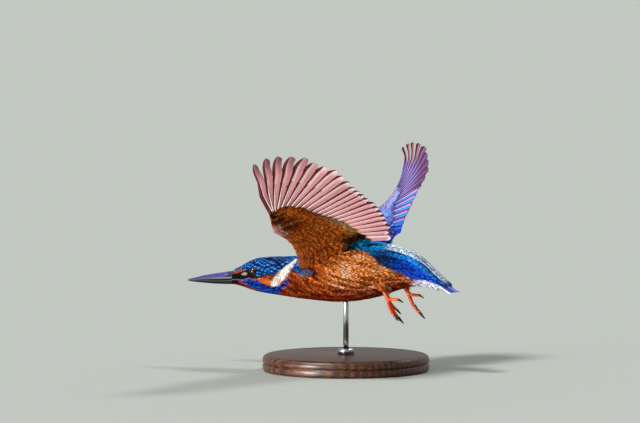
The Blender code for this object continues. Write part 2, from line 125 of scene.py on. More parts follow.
def turned(profile, steps=96):
    """A solid of revolution about the vertical, from its profile of (radius, height) points."""
    bm = bmesh.new()
    corners = [bm.verts.new((radius, 0.0, height)) for radius, height in profile]
    edges = [bm.edges.new(pair) for pair in zip(corners, corners[1:])]
    bmesh.ops.spin(
        bm, geom=corners + edges, cent=(0, 0, 0), axis=(0, 0, 1),
        angle=2 * math.pi, steps=steps, use_merge=True,
    )
    bmesh.ops.remove_doubles(bm, verts=bm.verts, dist=1e-7)
    bmesh.ops.recalc_face_normals(bm, faces=bm.faces)
    return bm


def walnut():
    """Flat-sawn heartwood with open pores, under oil and wax."""
    made, tree = new_material(
        "oiled_walnut", {"Roughness": 0.42, "IOR": 1.5, "Coat Weight": 0.25, "Coat Roughness": 0.3}
    )
    position = add_node(tree, "TexCoord").outputs["Object"]
    slab = {"Location": (0.03, 0.11, 0.0), "Scale": (0.35, 1.0, 1.0)}
    board = add_node(tree, "Mapping", slab, {"Vector": position})
    # rings 3 mm apart on the face of a flat-sawn board
    rings = add_node(
        tree, "TexWave",
        {"wave_type": "RINGS", "rings_direction": "Z", "Scale": 2 * math.pi / (3 * MM * 20),
         "Distortion": 3.5, "Detail": 3.0, "Detail Scale": 18.0}, {"Vector": board.outputs["Vector"]},
    )
    tones = ((0.0, "#3a2114"), (1.0, "#6b4227"))
    tone = add_node(tree, "ValToRGB", None, {"Fac": rings.outputs["Fac"]}, tones)
    # pores 1 mm wide and 25 mm long
    fibre = add_node(tree, "Mapping", {"Scale": (40.0, 900.0, 900.0)}, {"Vector": position})
    pores = add_node(tree, "TexNoise", {"Scale": 1.0, "Detail": 4.0}, {"Vector": fibre.outputs["Vector"]})
    shades = ((0.35, "#8f8079"), (0.62, "#ffffff"))
    return patterned(made, pores.outputs["Fac"], shades, (0.25, 0.2 * MM), tone.outputs["Color"])


_, base_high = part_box("stand_base")
base_radius, base_top = base_high.x, base_high.z
groove = base_top * 0.5
base = turned((
    (0.0, 0.0), (base_radius - 1.2 * MM, 0.0), (base_radius, 1.2 * MM),
    (base_radius, groove - 0.7 * MM), (base_radius - 0.7 * MM, groove - 0.3 * MM),
    (base_radius - 0.7 * MM, groove + 0.3 * MM), (base_radius, groove + 0.7 * MM),
    (base_radius, base_top - 2.2 * MM), (base_radius - 0.6 * MM, base_top - 0.8 * MM),
    (base_radius - 2.2 * MM, base_top), (0.0, base_top),
))
bmesh.ops.bevel(
    base, geom=[e for e in base.edges if e.calc_face_angle(0) > 0.25], offset=0.3 * MM,
    segments=2, profile=0.5, affect="EDGES", material=-1,
)
finish_piece("base", base, walnut(), "stand_wood", "stand_base")


# Rod and collar of the stand: stainless steel bar, brushed along its length, dropped through a turned
# collar that is screwed to the disc. Fine lengthwise scratches draw the highlight out into a band.
def brushed_steel():
    """Stainless steel bar, brushed lengthwise."""
    made, tree = new_material(
        "brushed_stainless_steel", {"Metallic": 1.0, "Roughness": 0.3, "Anisotropic": 0.5}
    )
    position = add_node(tree, "TexCoord").outputs["Object"]
    # scratches 0.05 mm wide and some 5 mm long
    along_bar = (1 / (0.05 * MM), 1 / (0.05 * MM), 1 / (5 * MM))
    drawn = add_node(tree, "Mapping", {"Scale": along_bar}, {"Vector": position})
    scratch = add_node(tree, "TexNoise", {"Scale": 1.0, "Detail": 2.0}, {"Vector": drawn.outputs["Vector"]})
    return patterned(made, scratch.outputs["Fac"], ((0.3, "#9a9c9e"), (0.7, "#c9cbcc")), (0.15, 0.05 * MM))


steel = brushed_steel()
rod_low, rod_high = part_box("stand_rod")
rod_radius = rod_high.x
rod = turned((
    (0.0, rod_low.z), (rod_radius, rod_low.z), (rod_radius, rod_high.z - 0.4 * MM),
    (rod_radius - 0.4 * MM, rod_high.z), (0.0, rod_high.z),
), 32)
finish_piece("rod", rod, steel, "stand_steel", "stand_rod")
collar_low, collar_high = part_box("stand_collar")
bore = rod_radius + 0.3 * MM
collar = turned((
    (bore, collar_low.z), (collar_high.x, collar_low.z), (collar_high.x, collar_high.z - 1.0 * MM),
    (collar_high.x - 0.3 * MM, collar_high.z - 0.4 * MM), (collar_high.x - 1.0 * MM, collar_high.z),
    (bore + 0.3 * MM, collar_high.z), (bore, collar_high.z - 0.3 * MM), (bore, collar_low.z),
), 48)
finish_piece("collar", collar, steel, "stand_steel", "stand_collar")


# Skin of the head, neck, trunk, rump, thighs and fleshy wings: one closed sheet laid over the solids with
# their thin partings filled, then drawn in by the depth of the coat that lies on it.
FLESH = (
    "head", "neck", "trunk", "rump", "tail_coverts", "thigh_left", "thigh_right",
    "wing_left_arm", "wing_left_hand", "wing_right_arm", "wing_right_hand",
)
SEAM_FILL = 0.36 * MM
VOXEL = 0.58 * MM
COAT_DEPTH = (0.18 * MM, 0.6 * MM)  # least, on the wing edges and face, and most, on the trunk
SHOULDERS = Vector((-17.0, 0.0, 58.0)) * MM  # midway between the shoulder joints
FACE_END = SHOULDERS.x - 34.0 * MM


def joined(bms):
    """Finished shapes as one mesh."""
    together = bmesh.new()
    for bm in bms:
        mesh = bpy.data.meshes.new("shape")
        bm.to_mesh(mesh)
        bm.free()
        together.from_mesh(mesh)
        bpy.data.meshes.remove(mesh)
    return together


def smoothed(bm, factor, rounds):
    """A mesh with its unevenness eased out, round by round."""
    for _ in range(rounds):
        bmesh.ops.smooth_vert(
            bm, verts=bm.verts, factor=factor, use_axis_x=True, use_axis_y=True, use_axis_z=True
        )
    return bm


def melted(bms, voxel, rounds):
    """Overlapping closed shapes melted into one skin of even faces."""
    helper = bpy.data.objects.new("melt", bpy.data.meshes.new("melt"))
    together = joined(bms)
    together.to_mesh(helper.data)
    together.free()
    bpy.context.scene.collection.objects.link(helper)
    remesh = helper.modifiers.new("even", "REMESH")
    remesh.mode = "VOXEL"
    remesh.voxel_size = voxel
    evaluated = helper.evaluated_get(bpy.context.evaluated_depsgraph_get())
    result = bmesh.new()
    result.from_mesh(evaluated.to_mesh())
    bpy.data.objects.remove(helper)
    return smoothed(result, 0.5, rounds)


def grown_flesh(name):
    """One of the flesh solids, grown until the partings round it close."""
    part = bmesh.new()
    part.from_mesh(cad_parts[name].data)
    bmesh.ops.remove_doubles(part, verts=part.verts, dist=2e-6)
    part.normal_update()
    for vert in part.verts:
        vert.co += vert.normal * SEAM_FILL
    return part


def draw_in(bm):
    """Moves the skin inwards by the coat's depth, less where the flesh is thin."""
    bm.normal_update()
    tree = BVHTree.FromBMesh(bm)
    moves = []
    for vert in bm.verts:
        inwards = -vert.normal
        hit = tree.ray_cast(vert.co + inwards * 0.05 * MM, inwards, 20 * MM)
        thickness = hit[3] if hit[0] else 20 * MM
        depth = min(COAT_DEPTH[1], max(COAT_DEPTH[0], thickness * 0.06))
        if vert.co.x < FACE_END and abs(vert.co.y) < 12 * MM:
            depth *= 0.55
        moves.append(inwards * min(SEAM_FILL + depth, 0.34 * thickness))
    for vert, move in zip(bm.verts, moves):
        vert.co += move


skin = melted([grown_flesh(name) for name in FLESH], VOXEL, 5)
draw_in(skin)
smoothed(skin, 0.4, 2)
skin.normal_update()
skin_tree = BVHTree.FromBMesh(skin)
skin_colour = skin.verts.layers.float_color.new("Plumage")


# Markings of head and body, worked out for any point from its place along the bird and its height on
# the cross-section: blue above, rufous below, with the white neck patch and blue moustache stripe.
NAVY, ROYAL, AZURE = "#061654", "#0650cc", "#2394ee"
PALE_AZURE, TEAL, DEEP_TEAL = "#bfe6fb", "#0b7fae", "#08304f"
RUFOUS, ORANGE, CHESTNUT = "#bc5014", "#ffa04c", "#a03a0c"
FLECK, BUFF, WHITE = "#ffd8c4", "#e9c9a4", "#f6efe9"
BLACK, SLATE = "#0a0810", "#5a6c90"

# Feathered outline of the body: x from the shoulders, top, bottom and half width, all in millimetres.
OUTLINE = np.array((
    (-52.0, -4.2, -12.9, 3.7), (-46.5, -1.8, -13.6, 6.4), (-40.0, 1.7, -15.4, 8.9),
    (-32.0, 3.6, -17.0, 10.5), (-22.0, 4.3, -18.1, 11.0), (-11.0, 5.0, -19.2, 11.8),
    (0.0, 8.2, -19.8, 14.0), (14.0, 12.0, -20.2, 15.8), (28.0, 13.7, -18.6, 15.3),
    (40.0, 13.5, -15.6, 13.0), (50.0, 11.7, -12.0, 10.6), (58.0, 8.9, -10.0, 8.6),
    (65.0, 4.5, -10.2, 7.2), (72.0, -1.8, -11.6, 6.4), (79.0, -7.8, -12.2, 6.0),
))
EYE = np.array((-35.8, 7.2, -4.5))
EYE_RADIUS = 2.6

# Where blue gives way to orange on the side, as (x, height on the cross-section from -1 to 1).
BLUE_EDGE = np.array((
    (-52.0, 0.5), (-46.0, 0.52), (-41.0, 0.4), (-38.0, -0.1), (-34.0, -0.13), (-27.0, 0.0), (-21.0, 0.15),
    (-15.5, 0.4), (-11.0, 0.35), (-6.5, 0.16), (-2.0, 0.24), (3.0, 0.66), (11.0, 0.86), (20.0, 0.87),
    (30.0, 0.76), (37.0, 0.55), (43.4, 0.24), (50.0, -0.04), (55.4, -0.24), (60.6, -0.55), (64.4, -0.8),
    (68.0, -0.98), (79.0, -1.1),
))
# Likewise the lower edges of the ear patch and of the moustache, and the edge of the pale grey under the
# tail, a painted highlight.
EAR_FOOT = np.array((
    (-47.0, -0.3), (-42.0, -0.3), (-38.0, -0.15), (-35.0, -0.19), (-30.3, -0.34), (-27.3, -0.46),
    (-24.0, -0.51), (-21.4, -0.46), (-17.5, -0.3), (-12.0, 0.1),
))
MOUSTACHE_FOOT = np.array((
    (-45.0, -0.45), (-42.3, -0.52), (-39.5, -0.66), (-34.5, -0.88), (-28.0, -1.05), (-22.0, -1.05),
    (-17.0, -0.8), (-12.0, -0.35),
))
UNDER_TAIL_EDGE = np.array(((57.0, -1.4), (61.0, -0.5), (66.0, -0.3), (71.0, -0.08), (79.0, 0.05)))

# The white neck patch, a slanting strip that is blunt below and drawn to a point above, as (height from its
# middle, half width in millimetres).
NECK_PATCH = np.array(((-0.66, 0.1), (-0.6, 1.9), (-0.45, 3.1), (0.0, 3.5), (0.35, 2.6), (0.8, 0.2)))


def soft_step(low, high, value):
    """0 up to low, 1 from high and a smooth rise between them, or a fall where low is the greater."""
    t = np.clip((value - low) / (high - low), 0.0, 1.0)
    return t * t * (3 - 2 * t)


def over(below, *coats):
    """A colour with others laid over it in turn. Colours are hex, linear, or one for each of many points,
    and each coat has its share: a number, or one for each point."""
    for colour, share in coats:
        colour, below = (linear(c) if isinstance(c, str) else c for c in (colour, below))
        share = share[:, None] if isinstance(share, np.ndarray) else min(1.0, max(0.0, share))
        below = below + (colour - below) * share
    return below


def mottle(points, size, seed):
    """Smooth unevenness from -1 to 1, with swellings of about that size (one number, or one an axis)."""
    chance = np.random.default_rng(seed)
    total = np.zeros(len(points))
    for _ in range(6):
        heading = chance.normal(size=3)
        wave = heading / np.linalg.norm(heading) * 2 * math.pi / (np.asarray(size) * 2.2)
        total += np.sin(points @ wave + chance.uniform(0, 2 * math.pi))
    return total / 2.6


def outline_at(x):
    """Top, bottom and half width of the body at each x, on smooth curves through the outline."""
    slopes = np.gradient(OUTLINE[:, 1:], OUTLINE[:, 0], axis=0)
    k = np.clip(np.searchsorted(OUTLINE[:, 0], x) - 1, 0, len(OUTLINE) - 2)
    width = (OUTLINE[k + 1, 0] - OUTLINE[k, 0])[:, None]
    t = np.clip((x[:, None] - OUTLINE[k, :1]) / width, 0.0, 1.0)
    low, high = OUTLINE[k, 1:], OUTLINE[k + 1, 1:]
    rise = (2 * t**3 - 3 * t**2 + 1) * low + (3 * t**2 - 2 * t**3) * high
    lean = (t**3 - 2 * t**2 + t) * slopes[k] + (t**3 - t**2) * slopes[k + 1]
    return (rise + lean * width).T


def near(x, height, centre, reach, lean=0.0):
    """1 inside an oval patch of the side and 0 outside it; reach is (mm, share of height)."""
    along, up = (x - centre[0]) / reach[0], (height - centre[1]) / reach[1]
    turned_along = along * math.cos(lean) + up * math.sin(lean)
    turned_up = up * math.cos(lean) - along * math.sin(lean)
    return soft_step(1.12, 0.88, np.hypot(turned_along, turned_up))


def body_colours(points, share, chance):
    """Plumage colour at points in millimetres from the shoulders. share runs from a feather's root to its
    tip, and chance is the feather's own number from 0 to 1."""
    x, y, z = points.T
    top, bottom, half = outline_at(x)
    height = (z - (top + bottom) / 2) / ((top - bottom) / 2)
    side = np.abs(y)
    turn = np.arctan2(side / half, height)
    arc = turn * (half + top - bottom) / 2

    # rufous below, with dark streaks and pale flecks on the slant of the feathers
    flank = soft_step(-0.85, 0.0, height) * soft_step(2, 22, x)
    slant = np.stack((x, y, z + 10.0 * np.arctan((x + 2.0) / 11.0)), 1)
    streak = mottle(slant, (7.0, 1.3, 1.3), 3) + 0.5 * mottle(slant, (4.0, 0.8, 0.8), 33)
    streak += (chance - 0.5) * 0.5
    pale = soft_step(0.2, 0.8, streak) * soft_step(-0.95, -0.5, height)
    pale *= 0.3 + 0.7 * soft_step(-0.3, 0.6, mottle(points, (8.0, 5.0, 5.0), 5))
    ear = soft_step(-42, -36, x) * soft_step(-12, -16, x)
    lower = over(
        CHESTNUT,
        (RUFOUS, soft_step(-1.0, -0.2, height)),
        (ORANGE, flank * 0.9),
        ("#4a1200", soft_step(0.0, 0.8, -streak) * (0.85 - 0.3 * flank)),
        ("#541604", soft_step(14, 0, x) * soft_step(-14, -10, x) * 0.45),
        (over("#f59440", (FLECK, soft_step(10, 22, x))), pale * (0.55 + 0.45 * share)),
        # darker towards the bottom of breast and belly: painted shade
        ("#6e2408", soft_step(-0.6, -1.0, height) * soft_step(-14, 0, x) * 0.4),
        ("#e0701c", ear * 0.9 * soft_step(-0.6, -0.3, height)),
        ("#7a2204", ear * soft_step(0.0, 0.6, -streak) * 0.8),
        ("#f6a24a", ear * pale * 0.8),
        (BUFF, soft_step(-0.88, -0.97, height) * soft_step(-20, -30, x)),
    )

    # a crown of bright spots in uneven rows on navy
    rows = np.cos(2 * math.pi * (x + 0.9 * mottle(points, 3.4, 7) + 0.5 * mottle(points, 1.6, 27)) / 4.3)
    columns = np.cos(2 * math.pi * (arc + 0.9 * mottle(points, 3.2, 8) + 0.4 * mottle(points, 1.5, 28)) / 3.7)
    spots = rows * columns
    spot = soft_step(0.1, 0.35, spots + 0.15 * mottle(points, 5.0, 29))
    blue_edge = np.interp(x, *BLUE_EDGE.T) + 0.05 * mottle(points, 1.6, 9)
    crown = over(
        "#01062e",
        ("#1c8cf0", spot),
        # pale middles of the spots: painted highlight
        ("#8fd0ff", soft_step(0.5, 0.9, spots) * 0.5),
        ("#0a5a9c", (1 - spot) * soft_step(-34, -42, x) * 0.5),
        ("#030a34", soft_step(0.2, 0.05, height - blue_edge) * soft_step(-34, -30, x) * 0.75),
    )

    # a back of blue strands, which run along the bird, round its sides and down its rump with the feathers
    lie = np.stack((x, 11.0 * turn, 0.0 * x), 1)
    strand = 0.8 * mottle(lie, (12.0, 1.7, 1.0), 11) + 0.35 * mottle(lie, (7.0, 0.8, 1.0), 34)
    strand += (chance - 0.5) * 0.3
    ridge = soft_step(0.74, 0.9, height + 0.10 * strand) * soft_step(40, 47, x)
    rim = soft_step(0.26, 0.06, height - blue_edge) * soft_step(54, 60, x)
    back = over(
        ROYAL,
        (AZURE, soft_step(0.2, 0.7, height + 0.2 * strand)),
        (NAVY, soft_step(0.1, 0.8, -strand) * 0.85),
        ("#7cc6f4", soft_step(0.7, 1.2, strand) * soft_step(0.1, 0.6, height) * 0.7),
        # near white and pale azure along the ridge: the back's own pale stripe, brightened with a painted
        # highlight
        ("#e6f3ff", ridge * 0.95),
        ("#7cc6f4", soft_step(0.3, 0.9, -strand) * ridge * 0.5),
        (TEAL, soft_step(44, 34, x) * 0.9),
        (DEEP_TEAL, soft_step(54, 44, x) * soft_step(0.85, 0.5, height + 0.12 * strand) * 0.92),
        # near black on the sides under the wing: painted shade of the wing
        ("#05101f", soft_step(10, 16, x) * soft_step(32, 26, x) * soft_step(0.9, 0.8, height) * 0.8),
        ("#1098c8", soft_step(24, 30, x) * soft_step(46, 38, x) * soft_step(0.7, 0.9, height) * 0.9),
        (AZURE, rim * soft_step(0.2, -0.6, -strand) * 0.8),
    )
    nape = soft_step(-13, -9, x) * soft_step(5, 0, x)
    upper = over(crown, (back, soft_step(-4, 8, x)), ("#0e4a86", nape * 0.7 * (1 - spot)))

    # the blue moustache, cut off on a slant behind, and a slate patch ahead of the wing
    stripe_foot = np.interp(x, *MOUSTACHE_FOOT.T) + 0.05 * mottle(points, 1.6, 12)
    stripe_top = np.interp(x, *EAR_FOOT.T) + 0.04 * mottle(points, 1.6, 13)
    stripe = soft_step(-0.05, 0.05, height - stripe_foot) * soft_step(0.05, -0.05, height - stripe_top)
    stripe *= soft_step(-45.5, -43, x) * soft_step(-11.5, -13.5, x)
    stripe *= soft_step(-0.5, 0.7, z + 10.2 - 0.8 * (x + 13.2) + 0.6 * mottle(points, (3.0, 1.0, 1.0), 16))
    moustache = over("#041a80", ("#2a86f4", spot * 0.9), ("#02093c", soft_step(0.2, 0.9, -streak) * 0.6))
    ragged = mottle(points, (5.0, 0.9, 0.9), 15)
    grey = near(x + 1.3 * ragged, height + 0.03 * ragged, (-0.6, 0.17), (4.4, 0.14), -0.6)

    # black from the bill's root under the eye to just behind it, with the pale line of the gape below
    below_eye = np.hypot(x - EYE[0] + 0.6, (z - EYE[2] + 0.9) * 1.15)
    band = soft_step(0.40, 0.30, height) * soft_step(-0.03, 0.03, height - stripe_top)
    band *= soft_step(-36, -39, x)
    bill_root = soft_step(-0.8, -0.7, height) * soft_step(0.4, 0.3, height) * soft_step(-45, -47, x)
    dark = np.maximum(soft_step(3.9, 3.2, below_eye), np.maximum(band, bill_root))
    gape = soft_step(0.07, 0.02, np.abs(height - np.interp(x, *EAR_FOOT.T))) * soft_step(-36, -38, x)
    lore = near(x, height, (-46.8, 0.5), (3.4, 0.19), -0.25)

    along = height - 0.15
    strip = (x + 16.8 - 9.6 * along) / np.interp(along, *NECK_PATCH.T)
    patch = soft_step(1.1, 0.9, np.abs(strip)) * soft_step(-0.68, -0.62, along) * soft_step(0.8, 0.72, along)
    neck_white = over(
        "#fbf4ec",
        ("#cfa89c", soft_step(0.4, 1.1, -streak) * 0.6),
        ("#d08a66", soft_step(0.3, 0.9, strip) * soft_step(-0.2, 0.5, -streak) * 0.7),
    )
    # pale grey-white under the tail: a painted highlight along the rump's lower edge, with dusky streaks
    white_edge = np.interp(x, *UNDER_TAIL_EDGE.T) + 0.06 * mottle(points, (4.0, 1.0, 1.0), 14)
    under_tail_highlight = over("#e2e2ee", ("#8d93b0", soft_step(0.4, 1.2, -strand) * 0.6))
    return over(
        lower,
        (upper, soft_step(-0.04, 0.04, height - blue_edge)),
        (moustache, stripe),
        (SLATE, grey * (0.75 + 0.2 * np.clip(strand, -1, 1))),
        (BLACK, dark * soft_step(2.0, 3.0, side)),
        ("#8f86a8", gape * soft_step(2.0, 3.0, side) * 0.8),
        ("#a4561a", lore * soft_step(0.8, 2.0, side)),
        ("#bd948c", near(x, height, (-41.4, 0.13), (2.2, 0.11), -0.4)),
        (neck_white, patch),
        (under_tail_highlight, soft_step(0.04, -0.04, height - white_edge)),
    )


# Contour feathers of head, neck, trunk and rump. Each is a small vane of barbs that has parted into five
# locks, rooted in the skin and lying back over the next ones like shingles; finest on the face.
LOCK_SPREAD = (-1.0, -0.5, 0.0, 0.5, 1.0)
BAKE_PATCH = 0.003  # width of each feather's own patch on an unwrap of the skin


def shaped_grid(steps, sides, shape, uv_of=None, colour_of=None):
    """A closed tapering bar: a grid rolled up by shape(u, v), with u along it and v once round it."""
    bm = bmesh.new()
    bmesh.ops.create_grid(bm, x_segments=steps, y_segments=sides, size=0.5)
    vanes = bm.loops.layers.uv.new("Vane") if uv_of else None
    plumage = bm.verts.layers.float_color.new("Plumage") if colour_of else None
    own = {vert.index: (vert.co.x + 0.5, vert.co.y + 0.5) for vert in bm.verts}
    if uv_of:
        for face in bm.faces:
            for loop in face.loops:
                loop[vanes].uv = uv_of(*own[loop.vert.index])
    for vert in bm.verts:
        if colour_of:
            vert[plumage] = (*colour_of(*own[vert.index]), 1.0)
        vert.co = shape(*own[vert.index])
    bmesh.ops.remove_doubles(bm, verts=bm.verts, dist=1e-6)
    bmesh.ops.holes_fill(bm, edges=bm.edges, sides=0)
    if bm.calc_volume(signed=True) < 0:
        bmesh.ops.reverse_faces(bm, faces=bm.faces)
    return bm


def tuft_pattern(steps, lock_width, bow_out, tip_round):
    """One tuft lying along X from 0 to 1 and from -1 to 1 across Y: its vertices, triangles and, for each
    vertex, its share of the length and its lock."""
    verts, faces, share, lock = [], [], [], []
    for k, spread in enumerate(LOCK_SPREAD):
        length = 1.0 - tip_round * spread * spread

        def shape(u, v):
            width = lock_width * (0.55 + 0.9 * u - 1.45 * u**3) if u < 0.999 else 0.0
            corner = 2 * math.pi * v + math.pi / 2
            middle = spread * (0.22 + bow_out * math.sin(u * math.pi * 0.5))
            height = 0.5 + 0.5 * math.sin(corner) if u < 0.999 else 0.2
            return Vector((u * length, middle + width * math.cos(corner), height))

        bm = shaped_grid(steps, 3, shape)
        bmesh.ops.triangulate(bm, faces=bm.faces)
        bm.verts.index_update()
        first = len(verts)
        verts += [tuple(vert.co) for vert in bm.verts]
        faces += [[first + vert.index for vert in face.verts] for face in bm.faces]
        share += [vert.co.x / length for vert in bm.verts]
        lock += [k] * len(bm.verts)
        bm.free()
    return np.array(verts), np.array(faces), np.array(share), np.array(lock)


def contour_plumage(name, gloss, roughness):
    """Contour feathers: keratin barbs, coloured in the vane. Blue ones get their colour from the barbs'
    spongy structure and shine more than the rufous ones, which are pigmented and soft."""
    made, tree = new_material(name, {"Roughness": roughness, "Specular IOR Level": gloss})
    barbs = add_node(tree, "UVMap", {"uv_map": "Barbs"}).outputs["UV"]
    # barbs are about 0.1 mm apart; drawn 0.25 mm wide so that they show
    combed = add_node(tree, "Mapping", {"Scale": (3.0, 14.0, 1.0)}, {"Vector": barbs})
    fine = add_node(tree, "TexNoise", {"Scale": 1.0, "Detail": 3.0}, {"Vector": combed.outputs["Vector"]})
    shades = ((0.3, "#b2b2b2"), (0.68, "#ffffff"))
    return patterned(made, fine.outputs["Fac"], shades, (0.3, 0.08 * MM), "Plumage", 0.8)


def skin_point(target, reach):
    """The nearest point of the skin to a place, and its normal, or None if it is further than reach in mm."""
    found = skin_tree.find_nearest(target, reach * MM)
    return found if found[0] else None


def coat_piece(name, pattern, tufts, paint, material, slot):
    """Copies a tuft to every place in tufts as one mesh, coloured by paint(points, share, chance)."""
    verts, faces, share, lock = pattern
    chance = np.random.default_rng(len(name) + len(tufts["root"]))
    root, tip, normal = (np.array(tufts[key]) for key in ("root", "tip", "normal"))
    half, rise, patch = (np.array(tufts[key]) for key in ("half", "rise", "patch"))
    count = len(root)
    along = tip - root
    aside = np.cross(normal, along)
    aside /= np.linalg.norm(aside, axis=1)[:, None]
    wobble = chance.normal(0, 0.10, (count, len(LOCK_SPREAD)))[:, lock]
    stretch = 1 + chance.normal(0, 0.07, (count, len(LOCK_SPREAD)))[:, lock]
    across = (verts[None, :, 1] + wobble * share) * half[:, None]
    bulge = 0.35 * share * (1 - share) * rise[:, None] * 4
    height = bulge + verts[None, :, 2] * rise[:, None] * 0.45
    co = (
        root[:, None] + along[:, None] * (verts[None, :, 0] * stretch)[..., None]
        + aside[:, None] * across[..., None] + normal[:, None] * height[..., None]
    )

    mesh = bpy.data.meshes.new(name)
    corners = (faces[None] + (np.arange(count) * len(verts))[:, None, None]).reshape(-1)
    mesh.vertices.add(count * len(verts))
    mesh.vertices.foreach_set("co", co.astype(np.float32).ravel())
    mesh.loops.add(len(corners))
    mesh.loops.foreach_set("vertex_index", corners.astype(np.int32))
    mesh.polygons.add(len(corners) // 3)
    mesh.polygons.foreach_set("loop_start", np.arange(0, len(corners), 3, dtype=np.int32))
    mesh.update(calc_edges=True)
    mesh.shade_smooth()

    own = chance.uniform(0, 1, count)
    lock_own = chance.normal(0, 0.07, (count, len(LOCK_SPREAD)))[:, lock].ravel()
    rgb = paint(co.reshape(-1, 3), np.tile(share, count), np.repeat(own, len(verts)))
    # darker towards each root: painted shade under the next feathers; times each feather's and lock's random
    # tone
    light = (0.84 + 0.24 * np.tile(share, count) + lock_own) * np.repeat(0.90 + 0.2 * own, len(verts))
    rgba = np.ones((count * len(verts), 4), np.float32)
    rgba[:, :3] = np.clip(rgb * light[:, None], 0, 1)
    mesh.color_attributes.new("Plumage", "FLOAT_COLOR", "POINT").data.foreach_set("color", rgba.ravel())

    barb_uv = np.stack((verts[:, 0], verts[:, 1] * 0.35), 1)[faces.ravel()]
    barb_uv = barb_uv[None] + chance.uniform(0, 9, (count, 1, 2))
    mesh.uv_layers.new(name="Barbs").data.foreach_set("uv", barb_uv.astype(np.float32).ravel())
    bake_uv = (verts[:, :2] * (1.0, 0.5) + (0.0, 0.5))[faces.ravel()] * BAKE_PATCH
    bake_uv = bake_uv[None] + patch[:, None] * 0.99 + 0.002
    mesh.uv_layers.new(name="OFBake").data.foreach_set("uv", bake_uv.astype(np.float32).ravel())
    finish_piece(name, mesh, material, slot)


ROUNDNESS = 0.93  # of the body's cross-section: 1 for an ellipse, less for a fuller one
ROOT_SINK = 0.12 * MM  # how far a contour feather's root lies under the skin


def body_point(x, angle):
    """A point of the feathered outline: angle 0 is the ridge of the back, turning to the left side."""
    top, bottom, half = outline_at(np.array([x]))[:, 0]
    rise, side = math.cos(angle), math.sin(angle)
    y = -half * math.copysign(abs(side) ** ROUNDNESS, side)
    z = (top + bottom) / 2 + (top - bottom) / 2 * math.copysign(abs(rise) ** ROUNDNESS, rise)
    return SHOULDERS + Vector((x, y, z)) * MM


# Along the body: x, spacing of feathers, their visible length as a multiple of it, and how far their tips
# stand off, in millimetres.
FEATHER_SIZES = np.array((
    (-52.0, 0.55, 2.4, 0.16), (-44.0, 0.62, 2.6, 0.2), (-36.0, 0.78, 2.7, 0.26), (-20.0, 0.95, 2.9, 0.36),
    (-8.0, 1.0, 3.4, 0.45), (10.0, 1.05, 4.0, 0.55), (45.0, 1.05, 4.6, 0.55), (66.0, 1.0, 5.6, 0.5),
    (79.0, 0.9, 6.0, 0.4),
))
BODY_START, BODY_END = OUTLINE[0, 0] + 0.3, OUTLINE[-1, 0] - 1.0
HEAD_END, BREAST_END = -10.0, 22.0  # where the head's coat and the breast's end


def gathered(tufts):
    """Tufts as one array of each of their values."""
    return {key: np.array([tuft[key] for tuft in tufts]) for key in tufts[0]}


def body_tufts():
    """Roots and tips of the contour feathers, in rows round the body, each row set between the last."""
    chance = np.random.default_rng(21)
    tufts = []
    x, row = BODY_START, 0
    while x < BODY_END:
        spacing, reach, stand = (np.interp(x, FEATHER_SIZES[:, 0], FEATHER_SIZES[:, c]) for c in (1, 2, 3))
        top, bottom, half = outline_at(np.array([x]))[:, 0]
        count = max(8, round(math.pi * (half + (top - bottom) / 2) / spacing))
        for k in range(count):
            angle = 2 * math.pi * (k + 0.5 * (row % 2) + chance.uniform(-0.3, 0.3)) / count
            place = body_point(x + chance.uniform(-0.35, 0.35) * spacing, angle)
            found = skin_point(place, reach=1.6)
            from_eye = (place - SHOULDERS) / MM - Vector((EYE[0], math.copysign(EYE[1], place.y), EYE[2]))
            if not found or from_eye.length < EYE_RADIUS + 0.55:
                continue
            root, normal = found[0], found[1]
            back = Vector((1.0, chance.normal(0, 0.12), chance.normal(0, 0.12) - 0.05))
            lie = (back - normal * back.dot(normal)).normalized()
            length = spacing * reach * chance.uniform(0.85, 1.15)
            ahead = skin_point(root + lie * length * MM, reach=6.0)
            if not ahead:
                continue
            tufts.append({
                "root": root - normal * ROOT_SINK, "normal": normal,
                "tip": ahead[0] + ahead[1] * stand * MM * chance.uniform(0.7, 1.25),
                "half": spacing * 0.92 * MM, "rise": stand * 0.6 * MM,
                "patch": ((x - BODY_START) / (BODY_END - BODY_START), (angle / (2 * math.pi)) % 1.0),
            })
        x += spacing
        row += 1
    return gathered(tufts)


def paint_body(points, share, chance):
    return body_colours((points - np.array(SHOULDERS)) / MM, share, chance)


down_tuft = tuft_pattern(steps=2, lock_width=0.36, bow_out=0.5, tip_round=0.30)
long_tuft = tuft_pattern(steps=3, lock_width=0.34, bow_out=0.42, tip_round=0.22)
blue_plumage = contour_plumage("blue_contour_feathers", gloss=0.16, roughness=0.5)
rufous_plumage = contour_plumage("rufous_contour_feathers", gloss=0.1, roughness=0.65)
body_feathers = body_tufts()
root_x, _, root_z = ((body_feathers["root"] - np.array(SHOULDERS)) / MM).T
top, bottom, _ = outline_at(root_x)
is_blue = (root_z - (top + bottom) / 2) / ((top - bottom) / 2) > np.interp(root_x, *BLUE_EDGE.T)
on_head = root_x < HEAD_END
is_rufous = ~on_head & ~is_blue
for name, chosen, pattern, plumage, slot in (
    ("coat_head", on_head, down_tuft, blue_plumage, "plumage_blue"),
    ("coat_breast", is_rufous & (root_x < BREAST_END), down_tuft, rufous_plumage, "plumage_rufous"),
    ("coat_belly", is_rufous & (root_x >= BREAST_END), down_tuft, rufous_plumage, "plumage_rufous"),
    ("coat_back", ~on_head & is_blue, long_tuft, blue_plumage, "plumage_blue"),
):
    tufts = {key: values[chosen] for key, values in body_feathers.items()}
    coat_piece(name, pattern, tufts, paint_body, plumage, slot)


